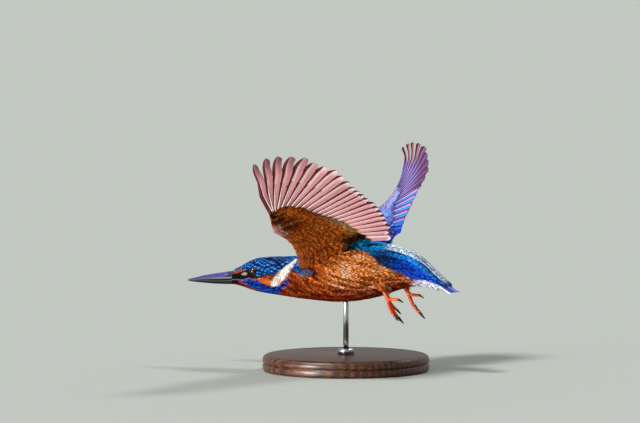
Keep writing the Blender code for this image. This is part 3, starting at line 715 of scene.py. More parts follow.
# Thighs: short feather trousers down to the ankle, looser than the belly's, with pale tips that reach
# past the joint. rooted gathers every tuft's root with its colours for the skin.
HIP, ANKLE = Vector((40.5, 7.4, -7.0)), Vector((44.4, 9.2, -12.7))
LEG_SHIFT = Vector((4.2, 0.0, 1.2))  # of the right leg, which hangs further back and higher
THIGH_RADII = ((0.0, 0.6, 1.0), (4.6, 3.6, 2.0))
SIDES = ((-1.0, "left"), (1.0, "right"))
rooted = [(body_feathers, paint_body)]


def leg_place(point, side):
    """A point of the left leg on the leg of that side, in metres."""
    shift = LEG_SHIFT if side > 0 else Vector((0.0, 0.0, 0.0))
    return SHOULDERS + Vector((point.x + shift.x, side * point.y, point.z + shift.z)) * MM


def thigh_tufts(side):
    """Roots and tips of one thigh's feathers, in rings from the belly down to the ankle."""
    chance = np.random.default_rng(61 + int(side))
    tufts = []
    hip, ankle = leg_place(HIP, side), leg_place(ANKLE, side)
    axis = (ankle - hip).normalized()
    across = axis.cross(Vector((0.0, 1.0, 0.0))).normalized()
    out = axis.cross(across)
    for row in range(13):
        t = 0.22 + 0.76 * row / 12
        radius = float(np.interp(t, *THIGH_RADII))
        count = max(7, round(2 * math.pi * radius / 0.85))
        for k in range(count):
            angle = 2 * math.pi * (k + 0.5 * (row % 2) + chance.uniform(-0.3, 0.3)) / count
            away = across * math.cos(angle) + out * math.sin(angle)
            found = skin_point(hip.lerp(ankle, t) + away * radius * MM, reach=1.5)
            if not found or found[1].dot(away) < 0.2:
                continue
            root, normal = found[0], found[1]
            lie = (axis + Vector((0.25, 0.0, 0.0)) - normal * axis.dot(normal)).normalized()
            length = chance.uniform(2.8, 4.2) * (1.0 + 0.35 * t)
            tufts.append({
                "root": root - normal * ROOT_SINK, "normal": normal,
                "tip": root + (lie * length + away * chance.uniform(0.0, 0.35)) * MM,
                "half": 0.8 * MM, "rise": 0.3 * MM, "patch": (t, (angle / (2 * math.pi)) % 1.0),
            })
    return gathered(tufts)


def paint_thighs(points, share, chance):
    return over(
        RUFOUS,
        (ORANGE, soft_step(0.2, 0.9, chance) * 0.8),
        (FLECK, soft_step(0.55, 1.0, share) * soft_step(0.3, 0.8, chance) * 0.7),
    )


for side, label in SIDES:
    rooted.append((thigh_tufts(side), paint_thighs))
    coat_piece(f"coat_thigh_{label}", down_tuft, *rooted[-1], rufous_plumage, "plumage_rufous")


# The wings on their flattened plan, in millimetres out from the shoulder and back from it: bones, the
# fans of flight feathers and the fleshy sections, and the way each plan is raised and twisted in flight.
SHOULDER_OUT = 11.0
ELBOW, WRIST, HAND_END = Vector((20.0, 13.0)), Vector((46.0, -3.0)), Vector((62.0, 0.0))
WRIST_FRONT = WRIST + Vector((0.0, -6.0))
WING_SPAN = 110.0
CAMBER, CAMBER_START, CAMBER_REACH = 2.6, 12.0, 50.0
PRIMARIES, SECONDARIES = 10, 12
TIP_ROUNDING = 0.80  # where a feather starts to round off, as a share of its length
# lift, sweep and twist are in degrees at the shoulder, halfway out and at the tip
WINGS = (
    {
        "label": "left", "side": -1.0, "shoulder_x": 0.0, "lift": (36.5, 28.8, 38.0),
        "sweep": (-7.0, -6.6, -6.0), "twist": (18.6, 26.5, 27.0), "primary_fan": (25.0, 88.0),
        "secondary_fan": (20.0, -16.0), "feather_scale": (1.0, 1.0, 1.0), "fingers": (0.66, 0.94, 0.62),
    },
    {
        "label": "right", "side": 1.0, "shoulder_x": 2.4, "lift": (62.0, 29.3, 135.0),
        "sweep": (-14.0, -9.6, 84.0), "twist": (10.0, 38.3, 96.0), "primary_fan": (0.0, 30.0),
        "secondary_fan": (2.0, 3.7), "feather_scale": (0.74, 0.86, 0.78), "fingers": (0.24, 0.64, 1.0),
    },
)


def mix(pair, t):
    """What lies a share t of the way from the first of a pair to the second."""
    return pair[0] + (pair[1] - pair[0]) * t


def bend(triple, share):
    """An angle of the wing in radians, on a parabola through its three given values in degrees."""
    start, middle, end = triple
    bulge = middle - (start + end) / 2
    return math.radians(start + (end - start) * share + bulge * 4 * share * (1 - share))


def span_direction(wing, distance):
    """Which way the raised wing's span runs at a distance out from the shoulder."""
    lift, sweep = bend(wing["lift"], distance / WING_SPAN), bend(wing["sweep"], distance / WING_SPAN)
    level = Vector((-math.sin(sweep), wing["side"] * math.cos(sweep), 0.0))
    return level * math.cos(lift) + Vector((0.0, 0.0, math.sin(lift)))


def wing_place(wing, span, chord, height=0.0):
    """A point of the flattened wing on the raised wing, in metres; height is towards its upper side."""
    point = Vector((wing["shoulder_x"], wing["side"] * SHOULDER_OUT, 0.0))
    for k in range(12):
        point = point + span_direction(wing, (k + 0.5) * span / 12) * (span / 12)
    along_span = span_direction(wing, span)
    back = (Vector((1.0, 0.0, 0.0)) - along_span * along_span.x).normalized()
    over_wing = back.cross(along_span) * wing["side"]
    twist = bend(wing["twist"], span / WING_SPAN)
    turned_back = back * math.cos(twist) + over_wing * math.sin(twist)
    turned_up = over_wing * math.cos(twist) - back * math.sin(twist)
    drop = CAMBER * (max(0.0, chord - CAMBER_START) / CAMBER_REACH) ** 2
    return SHOULDERS + (point + turned_back * chord + turned_up * (height - drop)) * MM


def flight_feathers(wing):
    """Each flight feather from the outermost primary to the innermost secondary, on the flattened wing."""
    outer_scale, wrist_scale, inner_scale = wing["feather_scale"]
    feathers = []
    for k in range(PRIMARIES, 0, -1):
        t = (k - 1) / (PRIMARIES - 1)
        peak = 0.78  # the longest primary's place in the fan
        length = mix((51.0, 60.0), math.sin(min(t / peak, 1.0) * math.pi / 2))
        length -= 6.5 * max(0.0, t - peak) / (1 - peak)
        feathers.append({
            "kind": "primary", "t": t, "root": WRIST.lerp(HAND_END, (k - 0.5) / (PRIMARIES - 0.5)),
            "angle": math.radians(mix(wing["primary_fan"], t)),
            "length": length * mix((wrist_scale, outer_scale), t), "half_width": mix((5.4, 4.6), t),
            "emargination": 0.5 * max(0.0, (t - 0.45) / 0.55), "covered": mix((18.0, 7.0), t**1.3),
        })
    for k in range(1, SECONDARIES + 1):
        t = (k - 1) / (SECONDARIES - 1)
        feathers.append({
            "kind": "secondary", "t": t, "root": WRIST.lerp(ELBOW, k / SECONDARIES),
            "angle": math.radians(mix(wing["secondary_fan"], t)),
            "length": mix((49.5, 39.5), t) * mix((wrist_scale, inner_scale), t),
            "half_width": mix((5.0, 4.6), t), "emargination": 0.0, "covered": mix((18.0, 24.0), t),
        })
    return feathers


def heading_of(feather):
    """Which way a feather points on the flattened wing."""
    return Vector((math.sin(feather["angle"]), math.cos(feather["angle"])))


def inwards_of(feather):
    """From a feather's shaft towards the next one nearer the body."""
    return Vector((-math.cos(feather["angle"]), math.sin(feather["angle"])))


def fleshy_sections(wing):
    """Front edge, hind edge and thickness of the fleshy wing and its coverts, from shoulder to tip."""
    feathers = flight_feathers(wing)
    hind = [f["root"] + heading_of(f) * (f["covered"] - 0.6) for f in feathers]
    tip_front = hind[0] - inwards_of(feathers[0]) * feathers[0]["half_width"]
    sections = [
        (Vector((-3.0, -7.0)), Vector((-3.0, 28.5)), 8.0), (Vector((6.0, -6.0)), Vector((4.0, 30.5)), 7.6),
    ]
    for k in range(SECONDARIES):
        t = k / (SECONDARIES - 0.5)
        bow = 2.6 * math.sin(math.pi * t)  # the skin's front edge is hollow between shoulder and wrist
        front = Vector((mix((13.0, WRIST_FRONT.x - 0.4), t), mix((-4.6, WRIST_FRONT.y), t) + bow))
        sections.append((front, hind[-1 - k], mix((6.8, 4.6), t)))
    for k in range(PRIMARIES):
        t = (k + 0.5) / (PRIMARIES - 0.5)
        sections.append((WRIST_FRONT.lerp(tip_front, t), hind[PRIMARIES - 1 - k], mix((4.4, 1.6), t)))
    return sections


# How deep the fleshy wing is from its front edge back: shares of the chord, and of its greatest depth.
CHORD_STATIONS = (0.0, 0.06, 0.18, 0.38, 0.62, 0.84, 1.0, 1.3)
CHORD_DEPTHS = (0.0, 0.52, 0.9, 1.0, 0.72, 0.42, 0.24, 0.2)


def half_thickness(section_thickness, chord_share):
    """Half of how thick the fleshy wing is at a share of its chord."""
    return section_thickness / 2 * float(np.interp(chord_share, CHORD_STATIONS, CHORD_DEPTHS))


# Wing coverts: rounded feathers in rows from the front edge back, small along the edge and long where
# they cover the roots of the flight feathers. Rufous brown beneath, azure and lilac above.
UNDER_BROWN, UNDER_DARK, UNDER_GOLD = "#b85c18", "#4a1806", "#e08a28"
WRIST_HIGHLIGHT_PINK, LILAC, PERIWINKLE = "#e8a8a4", "#b2a6dc", "#7f8ad2"
COVERT_SINK = 0.08 * MM
COVERT_ROWS = (
    # share of the chord, spacing, length, half width and rise in millimetres
    (0.012, 0.9, 2.2, 0.75, 0.14), (0.07, 1.0, 2.6, 0.85, 0.18), (0.13, 1.0, 2.9, 0.9, 0.2),
    (0.19, 1.0, 3.2, 0.9, 0.22), (0.26, 1.05, 3.4, 1.0, 0.24), (0.33, 1.05, 3.6, 1.0, 0.25),
    (0.40, 1.1, 3.8, 1.05, 0.26), (0.47, 1.1, 4.0, 1.05, 0.28), (0.54, 1.15, 4.2, 1.1, 0.3),
    (0.61, 1.2, 4.6, 1.1, 0.3), (0.68, 1.2, 5.0, 1.15, 0.32), (0.75, 1.25, 5.4, 1.2, 0.34),
    (0.82, 1.3, 5.4, 1.2, 0.36), (0.89, 1.4, 5.4, 1.3, 0.38), (0.95, 1.5, 4.6, 1.3, 0.4),
)


def section_at(sections, q):
    """Front, back and thickness of the fleshy wing at a place between its sections."""
    k = min(int(q), len(sections) - 2)
    (front, back, thick), (front_2, back_2, thick_2) = sections[k], sections[k + 1]
    return front.lerp(front_2, q - k), back.lerp(back_2, q - k), mix((thick, thick_2), q - k)


def covert_tufts(wing, upper):
    """The coverts of one side of a wing, with each root's place: share of the span and of the chord."""
    chance = np.random.default_rng(31 + int(upper) + int(wing["side"]))
    sections = fleshy_sections(wing)
    last = len(sections) - 1.0
    sign = 1.0 if upper else -1.0
    tufts = []
    for share, spacing, length, half, rise in COVERT_ROWS:
        fine = np.linspace(0.0, last, 200)
        edges = [section_at(sections, q) for q in fine]
        line = [front.lerp(back, share) for front, back, _ in edges]
        run = np.concatenate(([0.0], np.cumsum([(b - a).length for a, b in zip(line, line[1:])])))
        count = max(4, round(run[-1] / spacing))
        for k in range(count):
            s = (k + 0.5 + chance.uniform(-0.3, 0.3)) / count * run[-1]
            q = float(np.interp(s, run, fine))
            c = max(0.004, share + chance.uniform(-0.025, 0.025))
            front, back, thickness = section_at(sections, q)
            flat = front.lerp(back, c)
            chord = (back - front).length
            surface = wing_place(wing, flat.x, flat.y, sign * half_thickness(thickness, c))
            found = skin_point(surface, reach=1.6)
            if not found:
                continue
            root, normal = found[0], found[1]
            reach = length * chance.uniform(0.85, 1.15) * min(1.0, 0.5 + chord / 40.0)
            heading = (back - front).normalized()
            aside = Vector((-heading.y, heading.x)) * chance.normal(0, 0.05)
            end = flat + (heading + aside) * reach
            end_share = c + reach / chord
            stand = rise * chance.uniform(0.75, 0.95) * (1.0 if upper else 0.7)
            tip = wing_place(wing, end.x, end.y, sign * (half_thickness(thickness, end_share) + stand * 0.5))
            if end_share < 0.97:
                close = skin_point(tip, reach=4.0)
                tip = close[0] + close[1] * stand * MM if close else tip
            tufts.append({
                "root": root - normal * COVERT_SINK, "normal": normal, "tip": tip, "half": half * MM,
                "rise": rise * (0.4 if upper else 0.24) * MM, "place": (q / last, c),
                "patch": (q / last, 0.02 + 0.46 * c + (0.5 if upper else 0.0)),
            })
    return gathered(tufts)


def paint_coverts(place, upper):
    """Colours of one side's coverts by their places on the wing."""
    def paint(points, share, chance):
        q, c = np.repeat(place, len(points) // len(place), axis=0).T
        mm = (points - np.array(SHOULDERS)) / MM
        uneven = mottle(mm, (3.0, 2.0, 2.0), 17) + (chance - 0.5) * (1.6 if upper else 0.4)
        if upper:
            return over(
                PERIWINKLE,
                (LILAC, soft_step(0.35, 0.75, q)),
                (ROYAL, soft_step(0.32, 0.12, q) * 0.9),
                (AZURE, soft_step(0.2, 1.1, uneven) * 0.55),
                (PALE_AZURE, soft_step(0.7, 1.0, share) * soft_step(0.1, 0.9, uneven) * 0.7),
                (NAVY, soft_step(0.10, 0.0, c) * 0.8),
            )
        # dark streaks along the feathers, from the front edge back
        plan = np.stack((62.0 * q, 34.0 * c, 0.0 * q), 1)
        streak = 0.8 * mottle(plan, (1.8, 11.0, 1.0), 19) + 0.4 * mottle(plan, (0.9, 6.0, 1.0), 20)
        streak += 0.2 * uneven
        # long pale sweeps from the front edge back towards the body, and pale ends on the hindmost ones
        sweep = np.sin(2 * math.pi * (7.0 * q + 2.2 * c + 0.3 * mottle(mm, 5.0, 18)))
        hind_end = soft_step(0.3, 0.9, share) * soft_step(0.8, 0.92, c)
        hind_end *= soft_step(0.62, 0.3, q) * soft_step(0.14, 0.24, q)
        # pale pink on the front edge at the wrist: a painted highlight on the wrist's knob
        edge = soft_step(0.24, 0.14, c) * soft_step(0.46, 0.54, q) * soft_step(0.76, 0.66, q)
        # by the body's side the hindmost ones are painted near black as the shade between wing and back, and
        # those at the very root turquoise, painted dark teal where they run into that shade
        root_blue = over("#05262f", ("#0d8cb6", soft_step(0.7, 0.92, c)))
        return over(
            UNDER_BROWN,
            (UNDER_GOLD, soft_step(0.45, 0.05, q) * soft_step(0.4, 0.9, c) * 0.8),
            (UNDER_DARK, soft_step(0.42, 0.62, q) * soft_step(0.75, 0.35, c) * 0.9),
            (UNDER_DARK, soft_step(0.2, 1.1, -streak) * 0.5),
            ("#d07c34", soft_step(0.5, 1.3, streak) * 0.4),
            ("#d98a4c", soft_step(0.55, 0.95, sweep) * soft_step(0.9, 0.5, c) * 0.5),
            ("#fcd9a0", hind_end * 0.8),
            # near black by the body's side: painted shade
            ("#04070d", soft_step(0.2, 0.15, q) * soft_step(0.58, 0.7, c) * 0.95),
            (root_blue, soft_step(0.11, 0.085, q) * soft_step(0.64, 0.72, c)),
            (WRIST_HIGHLIGHT_PINK, edge * 0.95),
        )
    return paint


covert_tuft = tuft_pattern(steps=2, lock_width=0.54, bow_out=0.46, tip_round=0.2)
covert_finishes = ((True, blue_plumage, "plumage_blue"), (False, rufous_plumage, "plumage_rufous"))
for wing in WINGS:
    for upper, plumage, slot in covert_finishes:
        tufts = covert_tufts(wing, upper)
        rooted.append((tufts, paint_coverts(tufts["place"], upper)))
        name = f"coverts_{wing['label']}_{'upper' if upper else 'under'}"
        coat_piece(name, covert_tuft, *rooted[-1], plumage, slot)


# Flight feathers: ten primaries and twelve secondaries a wing, each a thin stiff vane with a narrow outer
# web and a broad inner one on a horny shaft, tilted so that each slips under the next one inwards.
VANE_THICKNESS = 0.24
VANE_TILT = 0.13  # of the inner web's droop to its width
SHAFT_SET = 0.45  # how far the shaft lies from a vane's middle towards its outer edge, as a share of half
INNER_SHARE = (0.64, 0.24)  # of the room to the next shaft inwards that the inner web fills, lying close
OUTER_SHARE = (0.55, 0.20)  # and drawn apart; the same for the outer web and the next shaft outwards
STALK_COVER = 0.62  # where a vane starts, as a share of the covered length
MAROON, ROSE, BLUSH = "#6e2a36", "#d898a0", "#f4ccc8"
CREAM, DUSK = "#fff0e2", "#4a2430"
SHAFT_COLOURS = (CREAM, "#e0b0a4", "#3a1a4a", "#3a0f1c")


def ease(low, high, value):
    """The soft step of one number."""
    return float(soft_step(low, high, np.array(value)))


def vane_half_width(feather, share):
    """A vane narrows where it is emarginated and rounds off at its tip."""
    half = feather["half_width"]
    half *= 1.0 - feather["emargination"] * min(1.0, max(0.0, (share - 0.35) / 0.3))
    if share > TIP_ROUNDING:
        past = (share - TIP_ROUNDING) / (1 - TIP_ROUNDING)
        half *= math.sqrt(max(0.0, 1 - past**1.7))
    return half


def parting(wing, feather, share):
    """How far, from 0 to 1, a feather has drawn apart from its neighbours: only at its tip, but the outer
    primaries part into fingers, from the first of the wing's shares to the second."""
    first, last, most = wing["fingers"]
    apart = 0.8 * ease(0.88, 1.0, share)
    if feather["kind"] == "primary":
        apart = max(apart, most * ease(first, last, share) * ease(0.3, 0.85, feather["t"]))
    return apart


def shaft_point(feather, share):
    """The middle line of a vane at a share of its visible length; shares below 0 lie under the coverts."""
    return feather["root"] + heading_of(feather) * mix((feather["covered"], feather["length"]), share)


def vane_grid(start, edges, place, frayed, colour, steps=56, sides=22):
    """One closed vane, from a share under the coverts to its tip at 1. edges(share) gives how far its outer
    and inner edge lie from the shaft, place(share, across, height) a point and colour its tint there."""
    def section(u, v):
        share = start + (1.0 - start) * u
        outer, inner = edges(share)
        return share, (inner - outer) / 2 - math.cos(2 * math.pi * v) * (inner + outer) / 2, outer, inner

    def shape(u, v):
        share, across, outer, inner = section(u, v)
        if across > 0:
            across -= frayed(share) * max(0.0, across / max(inner, 0.1)) ** 4
        return place(share, across, math.sin(2 * math.pi * v) * VANE_THICKNESS / 2)

    def uv_of(u, v):
        share, across, _, _ = section(u, v)
        return share, across / 10.0 + 0.5

    def colour_of(u, v):
        share, across, outer, inner = section(u, v)
        return colour(share, across, outer, inner, v > 0.5)

    return shaped_grid(steps, sides, shape, uv_of, colour_of)


def shaft_grid(start, place, colours, width=0.42, steps=20):
    """The horny shaft, standing a little proud of both faces of its vane. colours are its root and tip
    below, then above."""
    def shape(u, v):
        taper = 1.0 - 0.8 * u
        turn = 2 * math.pi * v
        share = start + (0.97 - start) * u
        return place(share, -math.cos(turn) * width * taper, math.sin(turn) * (0.1 + 0.3 * taper))

    def colour_of(u, v):
        root, tip = colours[:2] if v > 0.5 else colours[2:]
        return over(root, (tip, ease(0.2, 0.9, u)))

    return shaped_grid(steps, 6, shape, lambda u, v: (u, 0.5), colour_of)


def flight_vane():
    """Vane of a flight feather: flat barbs hooked together. Colour lies in the barbs, which run slanting
    out from the shaft and give the vane its silk-like streak."""
    made, tree = new_material("flight_feather_vane", {"Roughness": 0.5, "Specular IOR Level": 0.3})
    vane = add_node(tree, "UVMap", {"uv_map": "Vane"}).outputs["UV"]
    parts = add_node(tree, "SeparateXYZ", None, {"Vector": vane})
    off_shaft = add_node(tree, "Math", {"operation": "SUBTRACT", 1: 0.5}, {0: parts.outputs["Y"]})
    away = add_node(tree, "Math", {"operation": "ABSOLUTE"}, {0: off_shaft.outputs[0]})
    ends = {0: away.outputs[0], 2: parts.outputs["X"]}
    slant = add_node(tree, "Math", {"operation": "MULTIPLY_ADD", 1: -0.25}, ends)
    # a vane is 20 to 45 mm long; barbs, 0.2 mm apart, are drawn 0.5 mm apart so that they show
    place = add_node(tree, "CombineXYZ", None, {"X": slant.outputs[0], "Y": away.outputs[0]})
    combed = add_node(tree, "Mapping", {"Scale": (75.0, 2.0, 1.0)}, {"Vector": place.outputs[0]})
    barbs = add_node(tree, "TexNoise", {"Scale": 1.0, "Detail": 3.0}, {"Vector": combed.outputs["Vector"]})
    shades = ((0.3, "#dedada"), (0.66, "#ffffff"))
    return patterned(made, barbs.outputs["Fac"], shades, (0.35, 0.08 * MM), "Plumage", 0.7)


def colour_from_below(feather, share, across, outer, inner):
    """Grey-brown webs painted rosy as light coming through them: the outer web a dark maroon line, its dark
    underside with painted shade of the gap, the inner one pink with a brighter stripe by the shaft and a
    dusky one, painted as less light through, where the next feather backs it."""
    t, primary = feather["t"], feather["kind"] == "primary"
    if across < 0:
        return over(MAROON, (ROSE, ease(0.1, -0.3, share) * 0.5))
    inner_share = across / max(inner, 0.5)
    backed = ease(0.42, 0.52, inner_share) * ease(0.74, 0.62, inner_share)
    rusty = over("#8a4418", ("#e0983a", 0.0 if primary else ease(0.3, 0.6, t)))
    web = over(
        BLUSH,
        (ROSE, ease(0.05, 0.6, inner_share)),
        ("#b8747e", 0.5 * backed * ease(1.0, 0.7, share)),
        (CREAM, ease(0.16, 0.05, inner_share) * 0.9),
        ("#a8707c", ease(0.2, 0.3, inner_share) * ease(0.42, 0.34, inner_share) * 0.35),
        (CREAM, ease(0.14, -0.1, share) * 0.7),
        (rusty, 0.8 * ease(0.3, -0.04, share) * ease(0.12, 0.36, inner_share)),
    )
    rim = ease(0.86, 0.98, share)
    if primary:
        return over(
            web,
            ("#c67e86", 0.5 * ease(0.35, 0.85, t)),
            ("#ffeee6", rim * ease(0.55, 0.2, t) * 0.8),
            (DUSK, ease(0.6, 1.0, share) * ease(0.3, 0.8, t) * 0.8),
        )
    # the innermost, seen past the rounded pale end of the one over them, are blue
    inmost, round_end = ease(0.8, 0.88, t), share + 0.12 * (2 * inner_share - 1) ** 2
    return over(
        web,
        ("#ffeee6", rim * 0.8),
        ("#ffe6de", inmost * ease(0.74, 0.84, round_end)),
        ("#12409c", inmost * ease(0.85, 0.88, round_end)),
    )


def colour_from_above(feather, share, across, outer, inner):
    """Azure outer webs and pink-mauve inner ones on the secondaries, violet primaries that darken to
    maroon at their ends, and blue on the innermost feathers."""
    t = feather["t"]
    outer_share, inner_share = -across / max(outer, 0.5), across / max(inner, 0.5)
    if feather["kind"] == "primary":
        web = over(
            "#8a80c4",
            ("#6a4670", ease(0.2, 0.75, share)),
            ("#b87a92", ease(0.3, 0.9, share) * ease(0.45, 0.95, t)),
            ("#2c0f38", ease(0.25, 0.05, inner_share) * 0.7 if across > 0 else 0.6),
        )
        if across <= 0:
            return over(web, ("#3a0f1c", ease(0.4, 0.75, share) * ease(0.4, 0.7, t)))
        return over(
            web,
            ("#b79ad0", ease(0.14, 0.3, inner_share) * ease(0.5, 0.32, inner_share) * 0.5),
            ("#2a0e2c", ease(0.62, 1.0, inner_share) * 0.75),
            ("#4a1a30", ease(0.55, 1.0, share) * ease(0.7, 0.2, t) * 0.6),
            ("#e08a68", ease(0.55, 0.85, share) * ease(0.5, 0.9, t) * 0.6),
        )
    azure = over(
        "#6480d2",
        ("#3a88da", ease(0.2, 0.8, share)),
        # a pale band in the outer web: painted highlight
        ("#a9d4f4", 0.5 * ease(0.35, 0.5, outer_share) * ease(0.8, 0.6, outer_share)),
        ("#142c82", ease(0.82, 1.0, outer_share) * 0.8),
        ("#182a80", ease(0.86, 1.0, share) * 0.6),
    )
    mauve = over(
        "#9d88cc",
        ("#c586a6", ease(0.15, 0.7, share)),
        ("#431c5c", ease(0.22, 0.08, inner_share) * 0.8),
        ("#5a1d3c", ease(0.84, 1.0, share) * 0.7),
    )
    # every other feather lies a little further out and shows more of its azure web
    split = 0.7 * inner if round(t * (SECONDARIES - 1)) % 2 else -0.85 * outer
    inmost_blue = over("#0c3fb4", ("#2c7fe0", outer_share))
    return over(mauve if across > split else azure, (inmost_blue, ease(0.78, 0.88, t)))


def make_flight_feather(wing, feather, neighbours, chance):
    """Vane and shaft of a flight feather between its outer and inner neighbour, where it has them."""
    notches = [(chance.uniform(0.35, 0.95), chance.uniform(0.1, 0.45)) for _ in range(3)]
    lean, stretch = chance.normal(0, 0.15), chance.uniform(0.96, 1.01)
    own = chance.uniform(0.92, 1.08)
    start = feather["covered"] * (STALK_COVER - 1.0) / (feather["length"] - feather["covered"])

    def shaft_at(one, share):
        return shaft_point(one, share) - inwards_of(one) * SHAFT_SET * vane_half_width(one, share)

    def edges(share):
        half = vane_half_width(feather, share)
        widths = [(1 - SHAFT_SET) * half, (1 + SHAFT_SET) * half]
        here = shaft_at(feather, share)
        for k, (neighbour, filled) in enumerate(zip(neighbours, (OUTER_SHARE, INNER_SHARE))):
            if neighbour:
                room = (shaft_at(neighbour, share) - here).length
                widths[k] = min(widths[k], room * mix(filled, parting(wing, feather, share)))
        outer, inner = widths
        if not neighbours[1]:
            inner = min(inner, 1.6 * outer)
        return max(outer, 0.12), max(inner, 0.15)

    def frayed(share):
        return sum(depth * max(0.0, 1 - abs(share - where) / 0.03) for where, depth in notches)

    def place(share, across, height):
        flat = shaft_at(feather, share * stretch) + inwards_of(feather) * (across + lean * max(0.0, share))
        curl = 0.9 * max(0.0, share) ** 2
        return wing_place(wing, flat.x, flat.y, height - across * VANE_TILT + curl)

    def colour(share, across, outer, inner, from_below):
        side = colour_from_below if from_below else colour_from_above
        return np.clip(side(feather, share, across, outer, inner) * own, 0, 1)

    vane = vane_grid(start, edges, place, frayed, colour)
    return [vane, shaft_grid(start, place, SHAFT_COLOURS)]


vane_material = flight_vane()
for wing in WINGS:
    feathers = flight_feathers(wing)
    chance = np.random.default_rng(41)
    for kind, first, last in (("primaries", 0, PRIMARIES), ("secondaries", PRIMARIES, len(feathers))):
        made = []
        for k in range(first, last):
            neighbours = (feathers[k - 1] if k else None, feathers[k + 1] if k + 1 < len(feathers) else None)
            made += make_flight_feather(wing, feathers[k], neighbours, chance)
        name = f"{kind}_{wing['label']}"
        finish_piece(name, joined(made), vane_material, "flight_feather", f"wing_{wing['label']}_{kind}")


# The bare skin itself, pale and thin on a real bird, is tinted with the colour of the feathers that root
# in it, darkened as painted shade, so that the chinks between them look shadowed and filled with down.
root_places = np.concatenate([tufts["root"] for tufts, _ in rooted])
root_colours = []
for tufts, paint in rooted:
    middling = np.full(len(tufts["root"]), 0.5)
    root_colours.append(paint(tufts["root"], middling, middling))
# darker by 0.7: painted shade in the chinks
root_colours = np.concatenate(root_colours) * 0.7
nearest_root = KDTree(len(root_places))
for k, place in enumerate(root_places):
    nearest_root.insert(place, k)
nearest_root.balance()
for vert in skin.verts:
    vert[skin_colour] = (*root_colours[nearest_root.find(vert.co)[1]], 1.0)


def down_skin():
    """Bare skin under the coat: thin, dry and finely wrinkled, tinted by the down that springs from it."""
    made, tree = new_material("skin_under_down", {"Roughness": 0.75, "Specular IOR Level": 0.25})
    position = add_node(tree, "TexCoord").outputs["Object"]
    # wrinkles 0.4 mm apart
    wrinkle = add_node(tree, "TexNoise", {"Scale": 1 / (0.4 * MM), "Detail": 3.0}, {"Vector": position})
    shades = ((0.3, "#a8a8a8"), (0.7, "#ffffff"))
    return patterned(made, wrinkle.outputs["Fac"], shades, (0.4, 0.1 * MM), "Plumage")


finish_piece("skin", skin, down_skin(), "plumage_rufous", *FLESH)


# Scapulars and tertials: long feathers over each shoulder that close the gap between wing and back, blue
# above and painted nearly black below, as the shade under the wing.
SCAPULARS = 6


def make_scapular(side, k, chance):
    """Vane and shaft of one scapular, counted from the wing towards the ridge of the back."""
    root = Vector((7.0 + 1.6 * k, side * (8.6 - 0.7 * k), 0.0))
    tip = Vector((28.0 + 3.0 * k + chance.uniform(-1, 1), side * (9.4 - 0.9 * k), 0.0))
    tilt = math.radians(12.0 - 4.0 * k)

    def edges(share):
        half = 1.9 * math.sqrt(max(0.0, 1 - max(0.0, (share - 0.45) / 0.55) ** 1.8))
        return max(half, 0.1), max(half, 0.1)

    def place(share, across, height):
        middle = root.lerp(tip, share)
        top, bottom, half = outline_at(np.array([middle.x]))[:, 0]
        girth = min(0.98, abs(middle.y) / half)
        round_up = (1 - girth ** (2 / ROUNDNESS)) ** (ROUNDNESS / 2)
        back = (top + bottom) / 2 + (top - bottom) / 2 * round_up
        rise = -0.8 + (1.1 + 0.16 * k) * ease(0.0, 0.4, share) + 0.4 * share
        lean = Vector((0.0, side * math.cos(tilt), math.sin(tilt)))
        return SHOULDERS + (Vector((middle.x, middle.y, back + rise + height)) + lean * across) * MM

    def colour(share, across, outer, inner, from_below):
        off_shaft = abs(across) / outer
        # below: near black, painted shade under the wing
        if from_below:
            return over("#060a1c", ("#0e4f74", ease(0.6, 1.0, off_shaft) * 0.5))
        return over(TEAL, (over("#06184e", ("#1c7fe0", ease(0.15, 0.85, off_shaft))), ease(0.2, 0.7, share)))

    vane = vane_grid(0.0, edges, place, lambda share: 0.0, colour, steps=24, sides=14)
    return [vane, shaft_grid(0.0, place, (NAVY,) * 4, width=0.25, steps=10)]


for side, label in SIDES:
    chance = np.random.default_rng(45)
    parts = [part for k in range(SCAPULARS) for part in make_scapular(side, k, chance)]
    finish_piece(f"scapulars_{label}", joined(parts), vane_material, "plumage_blue")


# Tail: twelve short stiff feathers, nearly closed, deep blue above with pale edges and lilac grey beneath.
# Their roots lie under the tail coverts.
TAIL_ROOT = Vector((72.0, 0.0, -7.5))
TAIL_SLOPE, TAIL_FAN = math.radians(24.0), math.radians(8.0)
TAIL_LENGTH, TAIL_FEATHERS, TAIL_START = 13.6, 12, 4.0
TAIL_HALF_WIDTH, TAIL_ROOT_HALF = 1.9, 3.8
TAIL_BLUE, TAIL_GREY = "#1c48cc", "#9a9cd0"


